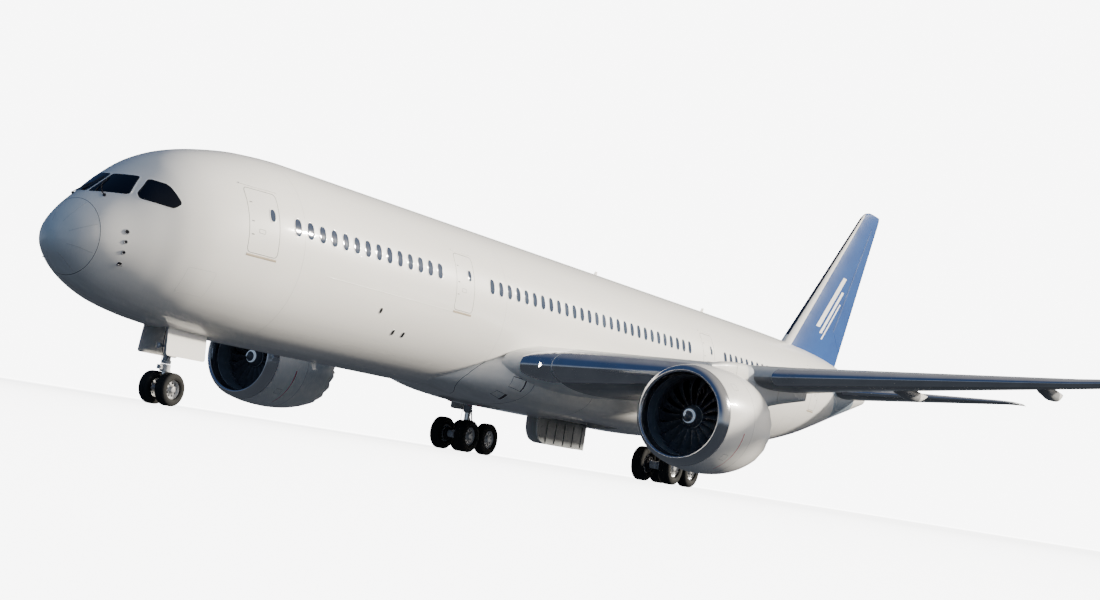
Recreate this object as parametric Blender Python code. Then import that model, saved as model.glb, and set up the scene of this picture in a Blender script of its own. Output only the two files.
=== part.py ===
"""Twin-engine wide-body airliner on its landing gear, as a half-size model."""
import math

import bmesh
import bpy
from mathutils import Vector

# Every size below is the real aircraft's, in metres.
# x runs to port, y runs aft from the nose tip, z runs up from the fuselage centreline.
SCALE = 0.5
LENGTH = 62.8
CENTRE_HEIGHT = 5.2
SEAT = 0.0006
RUN = 0.014
PORT = 1
STARBOARD = -1
SIDES = ((PORT, "left"), (STARBOARD, "right"))

# Fuselage sections: station, half width, top, bottom
FUSELAGE = (
    (0.00, 0.04, -0.97, -1.05),
    (0.10, 0.42, -0.64, -1.38),
    (0.35, 0.83, -0.22, -1.66),
    (0.75, 1.13, 0.22, -2.00),
    (1.50, 1.54, 0.84, -2.37),
    (2.30, 1.94, 1.47, -2.61),
    (3.10, 2.30, 1.98, -2.75),
    (4.00, 2.56, 2.35, -2.86),
    (5.20, 2.74, 2.65, -2.94),
    (6.70, 2.85, 2.88, -2.99),
    (8.60, 2.885, 2.98, -3.01),
    (41.5, 2.885, 2.98, -3.01),
    (45.1, 2.84, 2.98, -2.84),
    (48.1, 2.72, 2.96, -2.50),
    (51.1, 2.48, 2.90, -1.95),
    (54.0, 2.10, 2.78, -1.25),
    (57.0, 1.55, 2.54, -0.50),
    (59.5, 1.05, 2.24, 0.10),
    (61.65, 0.60, 1.86, 0.62),
    (62.8, 0.32, 1.55, 0.90),
)
FUSELAGE_SIDES = 32

# Fuselage nodes: name, front station, rear station
BARRELS = (
    ("radome", 0.0, 0.75),
    ("nose_section", 0.75, 7.6),
    ("forward_fuselage", 7.6, 19.5),
    ("centre_fuselage", 19.5, 34.5),
    ("aft_fuselage", 34.5, 48.1),
    ("tail_section", 48.1, 58.0),
    ("tail_cone", 58.0, 62.8),
)

# Belly fairing sections: station, half width, top, bottom
FAIRING = (
    (17.9, 1.20, -2.30, -2.86),
    (19.4, 2.30, -1.40, -3.10),
    (21.2, 3.00, -0.85, -3.28),
    (23.5, 3.25, -0.60, -3.37),
    (33.5, 3.25, -0.60, -3.37),
    (36.2, 2.90, -1.00, -3.27),
    (38.2, 2.20, -1.60, -3.08),
    (39.8, 1.00, -2.20, -2.82),
)
FAIRING_ROUNDING = 0.82
FLOOR_ROW = 3

# Wing stations: x, leading edge, trailing edge, height of the leading edge, thickness ratio,
# rise of the trailing edge, lean of the section in degrees
WING = (
    (2.60, 20.20, 33.60, -1.75, 0.135, 0.00, 0),
    (9.05, 24.70, 33.60, -0.95, 0.115, 0.32, 0),
    (11.05, 26.05, 33.90, -0.65, 0.11, 0.38, 0),
    (20.00, 32.10, 35.80, 0.85, 0.105, 0.24, 0),
    (25.20, 35.50, 37.50, 1.85, 0.10, 0.06, 0),
    (27.20, 36.72, 38.15, 2.28, 0.10, 0.02, 0),
    (28.40, 37.32, 38.52, 2.55, 0.10, 0.02, 14),
    (29.20, 37.55, 38.80, 2.80, 0.10, 0.02, 30),
    (29.72, 37.85, 39.15, 3.16, 0.09, 0.04, 52),
    (30.00, 38.40, 39.50, 3.68, 0.08, 0.06, 74),
    (30.10, 39.15, 39.90, 4.25, 0.07, 0.08, 82),
)
# Stabiliser stations: the same columns
STABILISER = (
    (0.40, 52.35, 59.00, 0.72, 0.105, 0.12, 0),
    (9.00, 59.10, 61.15, 1.80, 0.10, 0.04, 0),
    (9.60, 59.80, 61.40, 1.87, 0.10, 0.02, 0),
    (9.90, 60.60, 61.60, 1.90, 0.10, 0.00, 0),
)
# Fin stations: height, then the same columns with sideways places for heights
FIN = (
    (1.50, 49.30, 57.90, 0.0, 0.11, 0.0, 0),
    (11.10, 59.05, 61.75, 0.0, 0.10, 0.0, 0),
    (11.45, 59.60, 61.85, 0.0, 0.09, 0.0, 0),
    (11.60, 60.20, 61.85, 0.0, 0.08, 0.0, 0),
)
CAMBER = 0.045
BLUNT_EDGE = 0.0008
CHORD_STEPS = (0.0, 0.015, 0.06, 0.15, 0.30, 0.50, 0.70, 0.85, 1.0)

# Hinged surfaces: name, table, inner end, outer end, hinge place on the chord
SURFACES = (
    ("inboard_flap", WING, 4.20, 8.85, 0.85),
    ("flaperon", WING, 9.40, 10.85, 0.79),
    ("outboard_flap", WING, 11.45, 19.60, 0.75),
    ("aileron", WING, 20.60, 24.90, 0.72),
    ("elevator", STABILISER, 2.55, 8.75, 0.68),
    ("rudder", FIN, 4.30, 10.70, 0.70),
)
PIN_RADIUS = 0.035
PIN_REACH = 0.10
PIN_SIDES = 16
LUG_RADIUS = 0.09
DOOR_PIN = 0.05
FLAP_DROP = 0.42

# Flap fairings: flap, x, length ahead of the pivot, length behind it, half width
FLAP_FAIRINGS = (
    ("inboard_flap", 6.50, 2.2, 2.9, 0.28),
    ("outboard_flap", 13.50, 1.80, 2.75, 0.26),
    ("outboard_flap", 18.60, 1.6, 2.30, 0.23),
)
# Their halves: share of the length, share of the width, height of the keel above the pivot
FRONT_HALF = ((-1.0, 0.10, 0.42), (-0.65, 0.70, 0.18), (-0.30, 1.0, 0.04), (0.0, 1.0, -0.02))
REAR_HALF = ((0.0, 1.0, -0.02), (0.22, 1.0, -0.09), (0.5, 0.86, -0.07), (0.78, 0.48, 0.10), (1.0, 0.06, 0.27))
CANOE_SECTION = (
    (-1, 0.66), (-0.82, 0.24), (-0.35, 0), (0.35, 0), (0.82, 0.24), (1, 0.66), (0.9, 1), (-0.9, 1),
)

# Fixed slats: name, inner end, outer end
SLATS = (
    ("inboard_slat", 4.10, 9.20),
    ("outboard_slat", 10.75, 27.00),
)
SLAT_CHORD = 0.075

# Engine, measured aft from its lip
ENGINE_X = 9.93
ENGINE_Y = 20.37
ENGINE_Z = -2.72
ENGINE_SIDES = 30
LIP = ((0.45, 1.765), (0.20, 1.70), (0.06, 1.61), (0.0, 1.53), (0.08, 1.46), (0.25, 1.425), (0.45, 1.415))
COWL = (
    (0.45, 1.765), (1.10, 1.87), (2.00, 1.92), (3.00, 1.88), (4.35, 1.62),
    (4.35, 1.58), (3.30, 1.64), (2.00, 1.64), (1.60, 1.43), (0.45, 1.415),
)
CORE = (
    (1.72, 0.30), (1.74, 0.64), (2.10, 0.92), (3.10, 1.08),
    (4.35, 0.98), (5.50, 0.66), (5.52, 0.42), (6.45, 0.06),
)
SPINNER = ((0.62, 0.03), (0.72, 0.16), (0.95, 0.32), (1.15, 0.42), (1.45, 0.45))
FAN_BLADES = 18
FAN_RADIUS = 1.385
FAN_SHAFT = 0.16
VANES = 10
# Pylon: its outline, then its sections aft of the lip: station, half width, bottom, top above the axis
PYLON_SECTION = (
    (-0.6, 0.0), (0.6, 0.0), (1.0, 0.15), (1.0, 0.85), (0.6, 1.0), (-0.6, 1.0), (-1.0, 0.85), (-1.0, 0.15),
)
PYLON = (
    (1.90, 0.10, 1.80, 1.98),
    (3.00, 0.26, 1.74, 2.20),
    (4.40, 0.30, 1.40, 2.32),
    (4.60, 0.30, 0.86, 2.33),
    (5.60, 0.29, 0.62, 2.32),
    (7.40, 0.27, 1.05, 2.25),
    (9.60, 0.20, 1.42, 2.18),
    (10.8, 0.08, 1.60, 2.05),
)

# Landing gear
NOSE_GEAR_Y = 5.5
NOSE_TYRE = 0.508
NOSE_TYRE_WIDTH = 0.38
NOSE_TRACK = 0.33
TOW_Z = -4.06
TOW_REACH = 0.30
MAIN_GEAR_X = 4.9
MAIN_GEAR_Y = 30.0
MAIN_TYRE = 0.685
MAIN_TYRE_WIDTH = 0.50
MAIN_TRACK = 0.62
AXLE_SPACING = 0.76
BEAM_WIDTH = 0.30
TYRE_SIDES = 20

# Wheel wells: half width, inner side, front, rear, roof
MAIN_WELL = (0.22, 1.80, 27.2, 31.4, -2.2)
NOSE_WELL = (0.55, 4.75, 6.60, -1.9)

# Cargo doors on the starboard side: name, front, rear, bottom, top
CARGO_DOORS = (
    ("forward_cargo_door", 10.4, 13.1, -2.35, -0.65),
    ("aft_cargo_door", 41.8, 44.5, -2.20, -0.60),
)
DOOR_THICKNESS = 0.12

# Cockpit panes, seen along the given axis: name, axis, corners (x or y, z)
FRONT_PANE = ((0.04, 1.16), (0.82, 1.19), (1.04, 0.57), (0.04, 0.49))
SIDE_PANE = ((2.31, 1.15), (2.67, 1.08), (2.86, 0.60), (2.62, 0.41), (1.84, 0.51), (1.86, 0.66))
PANE_DEPTH = 0.06

PAINT_WHITE = ((0.86, 0.85, 0.82), 0.25, 0.0)
PAINT_GREY = ((0.30, 0.32, 0.34), 0.40, 0.0)
PAINT_BLUE = ((0.10, 0.20, 0.42), 0.35, 0.0)
BARE_METAL = ((0.62, 0.64, 0.68), 0.22, 1.0)
DARK_METAL = ((0.10, 0.10, 0.11), 0.45, 0.8)
GEAR_METAL = ((0.55, 0.56, 0.58), 0.40, 0.6)
BLACK_GLASS = ((0.02, 0.02, 0.03), 0.08, 0.0)
RUBBER = ((0.03, 0.03, 0.03), 0.85, 0.0)


def clear_scene():
    for item in list(bpy.data.objects):
        bpy.data.objects.remove(item)


def place(point):
    """Turn a full-size aircraft point into the model's own metres."""
    x, y, z = point
    return Vector((x * SCALE, (y - LENGTH / 2) * SCALE, (z + CENTRE_HEIGHT) * SCALE))


def loft(name, rings, wrap=False):
    """Skin a list of equal rings of points into one closed body."""
    work = bmesh.new()
    rows = [[work.verts.new(place(point)) for point in ring] for ring in rings]
    pairs = list(zip(rows, rows[1:]))
    if wrap:
        pairs.append((rows[-1], rows[0]))
    else:
        work.faces.new(rows[0])
        work.faces.new(rows[-1])
    count = len(rows[0])
    for near, far in pairs:
        for k in range(count):
            nxt = (k + 1) % count
            # The shorter diagonal keeps both faces of a thin twisted plate apart.
            if (near[k].co - far[nxt].co).length < (near[nxt].co - far[k].co).length + 1e-6:
                work.faces.new((near[k], near[nxt], far[nxt]))
                work.faces.new((near[k], far[nxt], far[k]))
            else:
                work.faces.new((near[k], near[nxt], far[k]))
                work.faces.new((near[nxt], far[nxt], far[k]))
    bmesh.ops.recalc_face_normals(work, faces=work.faces)
    if work.calc_volume(signed=True) < 0:
        bmesh.ops.reverse_faces(work, faces=work.faces)
    mesh = bpy.data.meshes.new(name)
    work.to_mesh(mesh)
    work.free()
    body = bpy.data.objects.new(name, mesh)
    bpy.context.collection.objects.link(body)
    return body


def boolean(target, tool, operation):
    """Cut, join or intersect with the exact solver, then drop the tool."""
    step = target.modifiers.new("step", "BOOLEAN")
    step.operation = operation
    step.solver = "EXACT"
    step.object = tool
    bpy.context.view_layer.update()
    graph = bpy.context.evaluated_depsgraph_get()
    mesh = bpy.data.meshes.new_from_object(target.evaluated_get(graph))
    target.modifiers.clear()
    target.data = mesh
    bpy.data.objects.remove(tool)
    return target


def cut(target, tool):
    return boolean(target, tool, "DIFFERENCE")


def join(target, tool):
    return boolean(target, tool, "UNION")


def keep(target, tool):
    return boolean(target, tool, "INTERSECT")


def paint(body, look):
    colour, roughness, metallic = look
    material = bpy.data.materials.new(body.name)
    material.use_nodes = True
    shader = material.node_tree.nodes["Principled BSDF"]
    shader.inputs["Base Color"].default_value = (*colour, 1.0)
    shader.inputs["Roughness"].default_value = roughness
    shader.inputs["Metallic"].default_value = metallic
    body.data.materials.clear()
    body.data.materials.append(material)
    return body


def set_origin(body, point):
    """Move a body's origin to a joint's axis and leave its shape where it is."""
    spot = place(point)
    for vertex in body.data.vertices:
        vertex.co -= spot
    body.location = spot


def block(name, low, high):
    corners = ((low[0], low[2]), (high[0], low[2]), (high[0], high[2]), (low[0], high[2]))
    return loft(name, [[(x, y, z) for x, z in corners] for y in (low[1], high[1])])


def rod(name, start, end, radius, sides=12, end_radius=None, turn=0.5):
    """A round bar between two points, with a flat facing down, or a corner where turn is 0."""
    start = Vector(start)
    end = Vector(end)
    along = (end - start).normalized()
    guide = Vector((0, 0, 1)) if abs(along.z) < 0.9 else Vector((0, 1, 0))
    across = along.cross(guide).normalized()
    up = across.cross(along)
    rings = []
    for centre, size in ((start, radius), (end, radius if end_radius is None else end_radius)):
        angles = [2 * math.pi * (k + turn) / sides for k in range(sides)]
        rings.append([centre + size * (math.sin(a) * across - math.cos(a) * up) for a in angles])
    return loft(name, rings)


def pin(name, start, end, radius):
    return rod(name, start, end, radius, PIN_SIDES, turn=0)


def pin_bore(start, end, radius):
    """A hole whose flats stay clear of the pin's corners as the pin turns."""
    return rod("bore", start, end, radius / math.cos(math.pi / PIN_SIDES) + SEAT / 2, PIN_SIDES)


def neighbours(rows, key):
    """The two rows of a table that a key lies between."""
    if key <= rows[0][0]:
        return rows[0], rows[1]
    return [pair for pair in zip(rows, rows[1:]) if pair[0][0] < key][-1]


def between(rows, key, column):
    """Read a table's column between its rows."""
    near, far = neighbours(rows, key)
    share = (key - near[0]) / (far[0] - near[0])
    return near[column] + share * (far[column] - near[column])


# Fuselage and fairing

def fuselage_ring(station, grow):
    half = between(FUSELAGE, station, 1) + grow
    top = between(FUSELAGE, station, 2) + grow
    bottom = between(FUSELAGE, station, 3) - grow
    middle = (top + bottom) / 2
    rise = (top - bottom) / 2
    angles = [2 * math.pi * k / FUSELAGE_SIDES for k in range(FUSELAGE_SIDES)]
    return [(half * math.sin(a), station, middle + rise * math.cos(a)) for a in angles]


def barrel(name, front, rear, grow=0.0):
    inner = {row[0] for row in FUSELAGE} | {row[1] for row in BARRELS[1:]}
    stations = [front] + sorted(station for station in inner if front < station < rear) + [rear]
    return loft(name, [fuselage_ring(station, grow) for station in stations])


def fairing_body(name, grow=0.0):
    rings = []
    for station, half, top, bottom in FAIRING:
        middle = (top + bottom) / 2
        rise = (top - bottom) / 2 + grow
        ring = []
        for k in range(FUSELAGE_SIDES):
            angle = 2 * math.pi * k / FUSELAGE_SIDES
            across = math.copysign(abs(math.sin(angle)) ** FAIRING_ROUNDING, math.sin(angle))
            up = math.copysign(abs(math.cos(angle)) ** FAIRING_ROUNDING, math.cos(angle))
            ring.append(((half + grow) * across, station, middle + rise * up))
        rings.append(ring)
    return loft(name, rings)


def main_well(side):
    inner, outer, front, rear, roof = MAIN_WELL
    ends = sorted((side * inner, side * outer))
    return block("well", (ends[0], front, -4.6), (ends[1], rear, roof))


def nose_well():
    half, front, rear, roof = NOSE_WELL
    return block("well", (-half, front, -4.6), (half, rear, roof))


def door_axis_x(bottom_front):
    """Sideways place of the skin at a cargo door's top edge."""
    station, top = bottom_front
    ring = fuselage_ring(station, 0.0)
    near, far = [(a, b) for a, b in zip(ring, ring[1:]) if a[0] < 0 and b[2] >= top > a[2]][0]
    share = (top - near[2]) / (far[2] - near[2])
    return near[0] + share * (far[0] - near[0])


def cargo_door(name, front, rear, bottom, top, host):
    """Cut a curved door out of its barrel and hang it on a barrel hinge."""
    side = door_axis_x((front, top))
    pocket = block("pocket", (-3.4, front, bottom), (-1.0, rear, top))
    cut(pocket, barrel("inner", front - 0.5, rear + 0.5, -(DOOR_THICKNESS + RUN)))
    join(pocket, pin_bore((side, front, top), (side, rear, top), DOOR_PIN))
    cut(host, pocket)
    door = barrel(name, front + RUN, rear - RUN)
    keep(door, block("frame", (-3.4, front, bottom + RUN), (-1.0, rear, top - RUN)))
    cut(door, barrel("inner", front - 0.5, rear + 0.5, -DOOR_THICKNESS))
    join(door, pin("hinge", (side, front + RUN, top), (side, rear - RUN, top), DOOR_PIN))
    set_origin(door, (side, front, top))
    return paint(door, PAINT_WHITE)


def pane_prism(corners, along, side, grow):
    """A window's outline pushed through the nose skin along one axis."""
    middle = [sum(c[k] for c in corners) / len(corners) for k in (0, 1)]
    outline = []
    for first, height in corners:
        away = Vector((first - middle[0], height - middle[1]))
        away = away + away.normalized() * grow
        outline.append((middle[0] + away.x, middle[1] + away.y))
    if along == "Y":
        return loft("prism", [[(side * x, y, z) for x, z in outline] for y in (0.9, 4.6)])
    return loft("prism", [[(side * x, y, z) for y, z in outline] for x in (0.9, 3.2)])


def cockpit_panes(host):
    for side, word in SIDES:
        for name, corners, along in (("windscreen", FRONT_PANE, "Y"), ("side_window", SIDE_PANE, "X")):
            pocket = pane_prism(corners, along, side, SEAT)
            cut(pocket, barrel("inner", 0.8, 7.6, -(PANE_DEPTH + SEAT)))
            cut(host, pocket)
            pane = barrel(f"{name}_{word}", 0.8, 7.6)
            cut(pane, barrel("inner", 0.8, 7.6, -PANE_DEPTH))
            keep(pane, pane_prism(corners, along, side, 0.0))
            paint(pane, BLACK_GLASS)


# Wings and tail

def half_thickness(share):
    curve = 0.2969 * math.sqrt(share) - 0.126 * share - 0.3516 * share ** 2
    return 5 * (curve + 0.2843 * share ** 3 - 0.1015 * share ** 4)


def row_point(rows, row, side, share, face):
    """A point on one section of a wing-like surface; face is 1 for the top and -1 for the bottom."""
    key, lead, trail, height, ratio, rise, lean = row
    chord = trail - lead
    thick = face * chord * (ratio * half_thickness(share) + BLUNT_EDGE * share)
    if rows is FIN:
        return Vector((thick, lead + chord * share, key))
    out = thick * math.sin(math.radians(lean))
    up = thick * math.cos(math.radians(lean))
    lift = chord * CAMBER * share * (1 - share) + rise * share
    return Vector((side * (key - out), lead + chord * share, height + lift + up))


def skin_point(rows, side, key, share, face):
    """A point on the flat strip between two neighbouring sections."""
    near, far = neighbours(rows, key)
    ends = [row_point(rows, row, side, share, face) for row in (near, far)]
    return ends[0].lerp(ends[1], (key - near[0]) / (far[0] - near[0]))


def wing_ring(rows, side, key, steps=CHORD_STEPS):
    upper = [skin_point(rows, side, key, share, 1) for share in reversed(steps)]
    lower = [skin_point(rows, side, key, share, -1) for share in steps[1:]]
    return upper + lower


def wing_solid(name, rows, side):
    return loft(name, [wing_ring(rows, side, row[0]) for row in rows])


class Hinge:
    """Hinge line of a control surface, with its own along, forward and up directions."""

    def __init__(self, rows, side, inner, outer, share, dropped=False):
        self.rows = rows
        self.side = side
        self.share = share
        self.keys = (inner, outer)
        self.ends = [self.middle(key) for key in self.keys]
        self.along = (self.ends[1] - self.ends[0]).normalized()
        guide = Vector((1, 0, 0)) if rows is FIN else Vector((0, 0, 1))
        self.up = (guide - guide.dot(self.along) * self.along).normalized()
        self.forward = self.up.cross(self.along).normalized()
        if self.forward.y > 0:
            self.forward = -self.forward
        self.length = (self.ends[1] - self.ends[0]).length
        self.radii = [self.radius(key) for key in self.keys]
        reach = [max(self.radii)] * 2 if dropped else self.radii
        self.front = [radius + RUN for radius in reach]

    def middle(self, key):
        faces = [skin_point(self.rows, self.side, key, self.share, face) for face in (1, -1)]
        return (faces[0] + faces[1]) / 2

    def radius(self, key):
        faces = [skin_point(self.rows, self.side, key, self.share, face) for face in (1, -1)]
        return (faces[0] - faces[1]).length / 2

    def in_plane(self, end, share, face):
        """Where a line of constant chord share meets the plane square to the hinge."""
        first, second = [skin_point(self.rows, self.side, key, share, face) for key in self.keys]
        reach = (self.ends[end] - first).dot(self.along) / (second - first).dot(self.along)
        return first + reach * (second - first)

    def ring(self, end):
        steps = [self.share + (1 - self.share) * part for part in (0.0, 0.3, 0.65, 1.0)]
        upper = [self.in_plane(end, share, 1) for share in reversed(steps)]
        lower = [self.in_plane(end, share, -1) for share in steps]
        nose = []
        for degrees in (60, 30, 0, -30, -60):
            angle = math.radians(degrees)
            spoke = math.cos(angle) * self.forward + math.sin(angle) * self.up
            nose.append(self.ends[end] + self.radii[end] * spoke)
        return upper + nose + lower

    def cove(self):
        """The room that the surface takes out of the fixed structure."""
        rings = []
        for end, step in ((0, -RUN), (1, RUN)):
            centre = self.ends[end] + step * self.along
            ring = []
            for ahead, rise in ((self.front[end], -1.2), (self.front[end], 1.2), (-4.0, 1.2), (-4.0, -1.2)):
                ring.append(centre + ahead * self.forward + rise * self.up)
            rings.append(ring)
        return loft("cove", rings)

    def pivot(self):
        """The dropped axis of a flap: its two ends."""
        drop = FLAP_DROP * self.up
        return [point + self.front[0] * self.forward - drop for point in self.ends]


def canoe(name, hinge, x, ahead, behind, half_width, part):
    """One half of a flap fairing, split square to the flap's pivot."""
    pivot = hinge.pivot()
    share = (hinge.side * x - pivot[0].x) / (pivot[1].x - pivot[0].x)
    spot = pivot[0] + share * (pivot[1] - pivot[0])
    skew = (pivot[1].y - pivot[0].y) / (pivot[1].x - pivot[0].x)
    rows, reach, start = (FRONT_HALF, ahead, 0.0) if part == "front" else (REAR_HALF, behind, RUN)
    rings = []
    for along, width, floor in rows:
        offset = start + along * (reach - start)
        ring = []
        roof = FLAP_DROP if part == "front" else FLAP_DROP - 0.04 * offset
        for across, height in CANOE_SECTION:
            dx = across * half_width * width
            z = spot.z + floor + height * max(0.05, roof - floor)
            ring.append((spot.x + dx, spot.y + offset + dx * skew, z))
        rings.append(ring)
    body = loft(name, rings)
    lug = hinge.along * half_width * 0.8
    return body, spot - lug, spot + lug


def lifting_surface(name, rows, side, word):
    """A fixed wing, stabiliser or fin with its hinged surfaces and what carries them."""
    suffix = f"_{word}" if word else ""
    body = wing_solid(name + suffix, rows, side)
    for title, table, inner, outer, share in SURFACES:
        if table is not rows:
            continue
        hinge = Hinge(rows, side, inner, outer, share, title.endswith("flap"))
        moving = loft(title + suffix, [hinge.ring(0), hinge.ring(1)])
        cut(body, hinge.cove())
        if title.endswith("flap"):
            origin = hinge.pivot()[0]
            for flap, x, ahead, behind, half_width in FLAP_FAIRINGS:
                if flap != title:
                    continue
                front, start, end = canoe("front", hinge, x, ahead, behind, half_width, "front")
                join(body, front)
                cut(body, pin_bore(start - hinge.along * 0.3, end + hinge.along * 0.3, LUG_RADIUS))
                rear, start, end = canoe("rear", hinge, x, ahead, behind, half_width, "rear")
                join(rear, pin("lug", start, end, LUG_RADIUS))
                join(moving, rear)
        else:
            origin = hinge.ends[0]
            for point, way in ((hinge.ends[0], -1), (hinge.ends[1], 1)):
                tip = point + way * (RUN + PIN_REACH) * hinge.along
                root = point - way * 0.2 * hinge.along
                join(moving, pin("pin", root, tip, PIN_RADIUS))
                bore_end = point + way * (RUN + PIN_REACH + SEAT) * hinge.along
                cut(body, pin_bore(root, bore_end, PIN_RADIUS))
        set_origin(moving, origin)
        paint(moving, PAINT_BLUE if rows is FIN else PAINT_GREY)
    return body


def slat(side, word, title, inner, outer):
    """The nose of the wing between two stations, as its own piece."""
    steps = [SLAT_CHORD * part for part in (0.0, 0.15, 0.45, 1.0)]
    keys = [inner] + [row[0] for row in WING if inner < row[0] < outer] + [outer]
    return loft(f"{title}_{word}", [wing_ring(WING, side, key, steps) for key in keys])


def slat_cutter(side, inner, outer):
    keys = [inner - SEAT] + [row[0] for row in WING if inner < row[0] < outer] + [outer + SEAT]
    rings = []
    for key in keys:
        lead = between(WING, key, 1)
        back = lead + SLAT_CHORD * (between(WING, key, 2) - lead) + SEAT
        z = between(WING, key, 3)
        corners = ((lead - 0.6, -1.0), (back, -1.0), (back, 1.0), (lead - 0.6, 1.0))
        rings.append([(side * key, y, z + rise) for y, rise in corners])
    return loft("cutter", rings)


def wings():
    for side, word in SIDES:
        wing = lifting_surface("wing", WING, side, word)
        for title, inner, outer in SLATS:
            paint(slat(side, word, title, inner, outer), BARE_METAL)
            cut(wing, slat_cutter(side, inner, outer))
        cut(wing, fairing_body("fairing", SEAT))
        cut(wing, barrel("body", 16.0, 42.0, SEAT))
        paint(wing, PAINT_GREY)


def tail():
    for side, word in SIDES:
        stabiliser = lifting_surface("stabiliser", STABILISER, side, word)
        cut(stabiliser, barrel("body", 48.1, 62.7, SEAT))
        paint(stabiliser, PAINT_GREY)
    fin = lifting_surface("fin", FIN, PORT, "")
    cut(fin, barrel("body", 47.0, 62.7, SEAT))
    paint(fin, PAINT_BLUE)


# Engines

def circle(x, y, z, radius, sides=ENGINE_SIDES):
    angles = [2 * math.pi * k / sides for k in range(sides)]
    return [(x + radius * math.sin(a), y, z + radius * math.cos(a)) for a in angles]


def engine_ring(side, station, radius):
    return circle(side * ENGINE_X, ENGINE_Y + station, ENGINE_Z, radius)


def turned(name, side, profile, wrap=False):
    return loft(name, [engine_ring(side, station, radius) for station, radius in profile], wrap)


def spoke_plate(name, side, angle, rows):
    """A radial plate: rows of radius, front, rear, twist and thickness."""
    rings = []
    outward = Vector((math.sin(angle), 0, math.cos(angle)))
    across = Vector((math.cos(angle), 0, -math.sin(angle)))
    centre = Vector((side * ENGINE_X, ENGINE_Y, ENGINE_Z))
    for radius, front, rear, twist, thick in rows:
        middle = centre + outward * radius
        nose = middle + Vector((0, front, 0)) + across * twist
        heel = middle + Vector((0, rear, 0)) - across * twist
        side_step = across * thick
        rings.append([nose - side_step, nose + side_step, heel + side_step, heel - side_step])
    return loft(name, rings)


def fan(side, word):
    body = turned(f"fan_{word}", side, SPINNER)
    blade = (
        (0.36, 1.12, 1.42, 0.05, 0.020),
        (0.90, 1.08, 1.44, 0.15, 0.013),
        (FAN_RADIUS, 1.12, 1.40, 0.23, 0.009),
    )
    for k in range(FAN_BLADES):
        join(body, spoke_plate("blade", side, 2 * math.pi * k / FAN_BLADES, blade))
    centre = (side * ENGINE_X, ENGINE_Y, ENGINE_Z)
    set_origin(body, centre)
    paint(body, DARK_METAL)


def engine_core(side, word):
    """The engine's heavy block, its nozzle and the vanes that hold the cowl."""
    body = turned(f"engine_core_{word}", side, CORE)
    shaft = ((SPINNER[-1][0] + SEAT, FAN_SHAFT), (1.80, FAN_SHAFT))
    join(body, turned("shaft", side, shaft))
    vane = ((0.70, 2.25, 2.85, 0.02, 0.018), (1.70, 2.25, 2.85, 0.02, 0.018))
    for k in range(VANES):
        join(body, spoke_plate("vane", side, 2 * math.pi * (k + 0.5) / VANES, vane))
    keep(body, turned("duct", side, ((1.2, 1.64 - SEAT), (6.6, 1.64 - SEAT))))
    paint(body, DARK_METAL)


def pylon_ring(side, station, half, bottom, top):
    x = side * ENGINE_X
    y = ENGINE_Y + station
    height = top - bottom
    return [(x + half * across, y, ENGINE_Z + bottom + height * rise) for across, rise in PYLON_SECTION]


def grown(profile, amount):
    """A solid outline a little larger than a turned piece's outside."""
    return [(station, radius + amount) for station, radius in profile]


def pylon(side, word):
    body = loft(f"pylon_{word}", [pylon_ring(side, *row) for row in PYLON])
    outside = [row for row in COWL[:5]]
    cut(body, turned("cowl", side, grown(outside, SEAT * 1.5)))
    core = [(3.1, 1.08), (4.35, 0.98), (5.50, 0.66), (5.52, 0.42), (6.45, 0.06)]
    cut(body, turned("core", side, grown(core, SEAT * 1.5)))
    for shift in (Vector((0, 0, -1)), Vector((0, -1, 0))):
        wing = wing_solid("wing", WING, side)
        wing.location = shift * SEAT * SCALE
        cut(body, wing)
    trim = loft("above", [above_wing(side, key) for key in (8.9, 11.2)])
    cut(body, trim)
    paint(body, PAINT_WHITE)


def above_wing(side, key):
    lead = between(WING, key, 1)
    trail = between(WING, key, 2)
    z = between(WING, key, 3)
    corners = ((lead + 0.05, 0.0), (trail, 0.0), (trail, 2.5), (lead + 0.05, 2.5))
    return [(side * key, y, z + rise) for y, rise in corners]


def engines():
    for side, word in SIDES:
        paint(turned(f"inlet_lip_{word}", side, LIP, wrap=True), BARE_METAL)
        cowl = [(station + (SEAT if station == 0.45 else 0.0), radius) for station, radius in COWL]
        paint(turned(f"engine_cowl_{word}", side, cowl, wrap=True), PAINT_WHITE)
        fan(side, word)
        engine_core(side, word)
        pylon(side, word)


# Landing gear

def tyre(name, x, y, z, radius, width):
    """A tyre with rounded shoulders and a flat of its outline on the ground."""
    rings = []
    for offset, size in ((-0.5, 0.62), (-0.5, 0.86), (-0.34, 1.0), (0.34, 1.0), (0.5, 0.86), (0.5, 0.62)):
        angles = [2 * math.pi * (k + 0.5) / TYRE_SIDES for k in range(TYRE_SIDES)]
        reach = radius * size / math.cos(math.pi / TYRE_SIDES)
        rings.append([(x + offset * width, y + reach * math.sin(a), z - reach * math.cos(a)) for a in angles])
    return loft(name, rings)


def wheel_pair(name, x, y, radius, width, track, axle):
    z = radius - CENTRE_HEIGHT
    body = tyre(name, x - track, y, z, radius, width)
    join(body, tyre("tyre", x + track, y, z, radius, width))
    join(body, pin("axle", (x - track, y, z), (x + track, y, z), axle))
    set_origin(body, (x, y, z))
    paint(body, RUBBER)


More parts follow.
